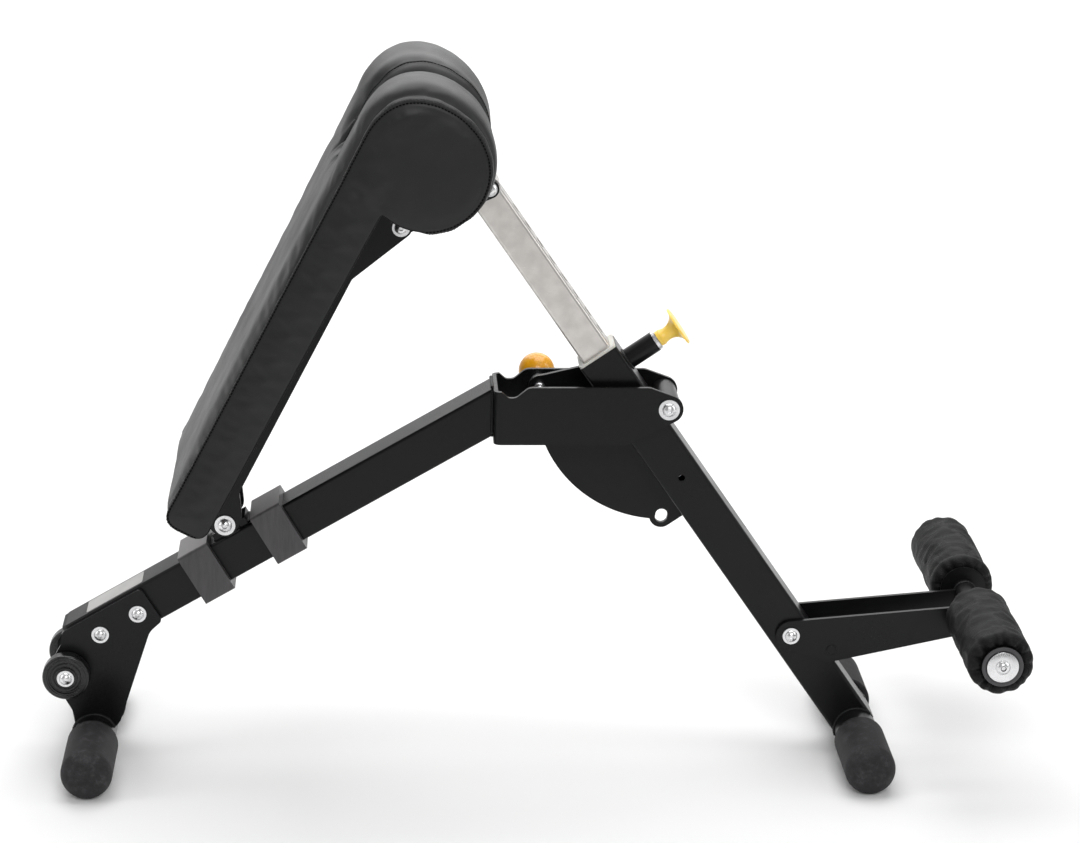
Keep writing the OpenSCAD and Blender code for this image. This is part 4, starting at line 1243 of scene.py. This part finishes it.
# ---------------------------------------------------------------- grey rings and bright washers on the roller ends stay in the CAD axle's place
def disc_ring(cx, cz, y, side, r_in, r_out, t, name_parts):
    V, F = [], []
    n = 64
    prof = [(r_in, 0.0), (r_in, t), (r_in + 0.3, t + 0.25), (r_out - 0.4, t + 0.25), (r_out, t - 0.1), (r_out, 0.0)]
    for r, h in prof:
        for k in range(n):
            a = 2 * math.pi * k / n
            V.append(P(cx + r * math.cos(a), cz + r * math.sin(a), side * (y + h)))
    R = len(prof)
    for a in range(R):
        b = (a + 1) % R
        for k in range(n):
            l = (k + 1) % n
            F.append((a * n + k, a * n + l, b * n + l, b * n + k))
    name_parts.append((V, F))


ring_parts, wash_parts, screw_parts = [], [], []
for s in (-1, 1):
    disc_ring(380, -258.5, 214.9, s, 19.3, 24.3, 0.15, ring_parts)
    # washer face
    V, F = [], []
    n = 64
    prof = [(18.9, 214.6), (18.9, 216.15), (18.4, 216.55), (10.4, 216.6), (9.2, 216.75)]
    for r, y in prof:
        for k in range(n):
            a = 2 * math.pi * k / n
            V.append(P(380 + r * math.cos(a), -258.5 + r * math.sin(a), s * y))
    for a in range(len(prof) - 1):
        for k in range(n):
            l = (k + 1) % n
            F.append((a * n + k, a * n + l, (a + 1) * n + l, (a + 1) * n + k))
    F.append(tuple((len(prof) - 1) * n + k for k in range(n)))
    wash_parts.append((V, F))
    # button head with a hexagon recess
    V, F = [], []
    n = 60
    prof = [(8.7, 216.6), (8.7, 217.5)] + [(9.4 * math.sin(math.radians(t)), 212.3 + 9.4 * math.cos(math.radians(t))) for t in (62, 52, 42, 32, 25)]
    for r, y in prof:
        for k in range(n):
            a = 2 * math.pi * k / n
            V.append(P(380 + r * math.cos(a), -258.5 + r * math.sin(a), s * y))
    for a in range(len(prof) - 1):
        for k in range(n):
            l = (k + 1) % n
            F.append((a * n + k, a * n + l, (a + 1) * n + l, (a + 1) * n + k))

    def hexr(a):
        q = (a % (math.pi / 3)) - math.pi / 6
        return 3.1 * math.cos(math.pi / 6) / math.cos(q)
    last = (len(prof) - 1) * n
    o = len(V)
    for y in (220.75, 219.7):
        for k in range(n):
            a = 2 * math.pi * k / n
            r = hexr(a)
            V.append(P(380 + r * math.cos(a), -258.5 + r * math.sin(a), s * y))
    for k in range(n):
        l = (k + 1) % n
        F.append((last + k, last + l, o + l, o + k))
        F.append((o + k, o + l, o + n + l, o + n + k))
    F.append(tuple(o + n + k for k in range(n)))
    screw_parts.append((V, F))
for nm, parts, mat in (("roller_end_rings", ring_parts, M_RING), ("roller_end_washers", wash_parts, M_ZINC), ("roller_end_screws", screw_parts, M_ZINC)):
    o = join_parts(nm, parts)
    fix_normals(o)
    for p in o.data.polygons:
        p.use_smooth = len(p.vertices) == 4
    set_mat(o, mat)
    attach(o, "roller_arm")


# raised rings moulded on the wheels' outer faces
def wheel_rings(side, body):
    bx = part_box("wheel_near" if side < 0 else "wheel_far")
    cx, cz = ((bx[0][0] + bx[1][0]) / 2 - PVX) * 1000, ((bx[0][2] + bx[1][2]) / 2 - PVZ) * 1000
    R = (bx[1][2] - bx[0][2]) * 500
    yo = max(abs(bx[0][1]), abs(bx[1][1])) * 1000
    parts = []
    n = 96
    for prof in ([(R * 0.785, -0.3), (R * 0.785, 0.4), (R * 0.795, 0.75), (R * 0.815, 0.9), (R * 0.84, 0.85), (R * 0.858, 0.5), (R * 0.863, -0.3)],
                 [(14.0, -2.3), (14.0, -1.4), (14.5, -1.05), (17.9, -1.05), (18.5, -1.4), (18.5, -2.3)]):
        V, F = [], []
        for r, h in prof:
            for k in range(n):
                a = 2 * math.pi * k / n
                V.append(P(cx + r * math.cos(a), cz + r * math.sin(a), side * (yo + h)))
        m = len(prof)
        for a in range(m):
            b = (a + 1) % m
            for k in range(n):
                l = (k + 1) % n
                F.append((a * n + k, a * n + l, b * n + l, b * n + k))
        parts.append((V, F))
    o = join_parts(f"wheel_rings_{'near' if side < 0 else 'far'}", parts)
    fix_normals(o)
    set_mat(o, M_WHEEL)
    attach(o, body)


wheel_rings(-1, "wheel_near_body")
wheel_rings(1, "wheel_far_body")


# ---------------------------------------------------------------- stage, light, camera
def stage_material():
    k = Mat("stage_paint")
    n = k.noise(1.3, 2)
    k.base(k.mix(k.rng(n, 0.3, 0.7, 0, 1), (0.86, 0.86, 0.86), (0.84, 0.84, 0.84)))
    k.set(rough=0.7, spec=0.2)
    return k.m


V, F = [], []
prof = [(-9.0, 0.0)] + [(-7.0 + 1.0 * k, 0.0) for k in range(14)] + [(6.2 + 2.6 * math.sin(math.radians(a)), 2.6 - 2.6 * math.cos(math.radians(a))) for a in range(0, 91, 6)] + [(8.8, 7.5)]
for y, z in prof:
    for x in (-9.0, 9.0):
        V.append((x, y, z - 0.0004))
for i in range(len(prof) - 1):
    F.append((2 * i, 2 * i + 1, 2 * i + 3, 2 * i + 2))
floor = make("studio_sweep", V, F)
set_mat(floor, stage_material())

w = bpy.data.worlds.new("studio")
scene.world = w
w.use_nodes = True
w.node_tree.nodes["Background"].inputs[0].default_value = (1, 1, 1, 1)
w.node_tree.nodes["Background"].inputs[1].default_value = 0.35


def area(name, loc, target, size, size_y, power):
    d = bpy.data.lights.new(name, "AREA")
    d.shape = "RECTANGLE"
    d.size, d.size_y = size, size_y
    d.energy = power
    o = bpy.data.objects.new(name, d)
    scene.collection.objects.link(o)
    o.location = loc
    v = Vector(target) - Vector(loc)
    o.rotation_euler = v.to_track_quat("-Z", "Y").to_euler()
    return o


area("overhead", (0.0, 0.7, 2.9), (0, 0.15, 0.3), 3.2, 2.2, 66)
area("behind", (0.0, 3.6, 2.6), (0, 0.6, 0.2), 5.0, 2.0, 60)
area("backdrop", (0.0, 4.8, 3.4), (0, 6.6, 0.6), 8.0, 2.2, 190)
area("left_strip", (-2.6, -0.6, 1.4), (-0.2, 0, 0.5), 0.8, 2.2, 14)
area("right_strip", (2.6, -0.4, 1.5), (0.2, 0, 0.4), 0.8, 2.2, 16)
area("front_fill", (0.6, -3.6, 3.0), (0, 0, 0.4), 2.0, 1.4, 58)

yaw, pitch, roll = math.radians(3.19), math.radians(17.58), math.radians(0.96)
fw = Vector((math.sin(yaw) * math.cos(pitch), math.cos(yaw) * math.cos(pitch), -math.sin(pitch)))
r0 = Vector((math.cos(yaw), -math.sin(yaw), 0))
d0 = fw.cross(r0)
right = r0 * math.cos(roll) - d0 * math.sin(roll)
down = r0 * math.sin(roll) + d0 * math.cos(roll)
cam_d = bpy.data.cameras.new("camera")
cam = bpy.data.objects.new("camera", cam_d)
scene.collection.objects.link(cam)
cam_d.sensor_width = 36
cam_d.sensor_fit = "HORIZONTAL"
cam_d.lens = 3140.0 / 1080.0 * 36
cam_d.clip_end = 60
m = Matrix((right, -down, -fw)).transposed().to_4x4()
m.translation = P(-349, 1104, -3567)
cam.matrix_world = m
scene.camera = cam
scene.view_settings.view_transform = "Standard"
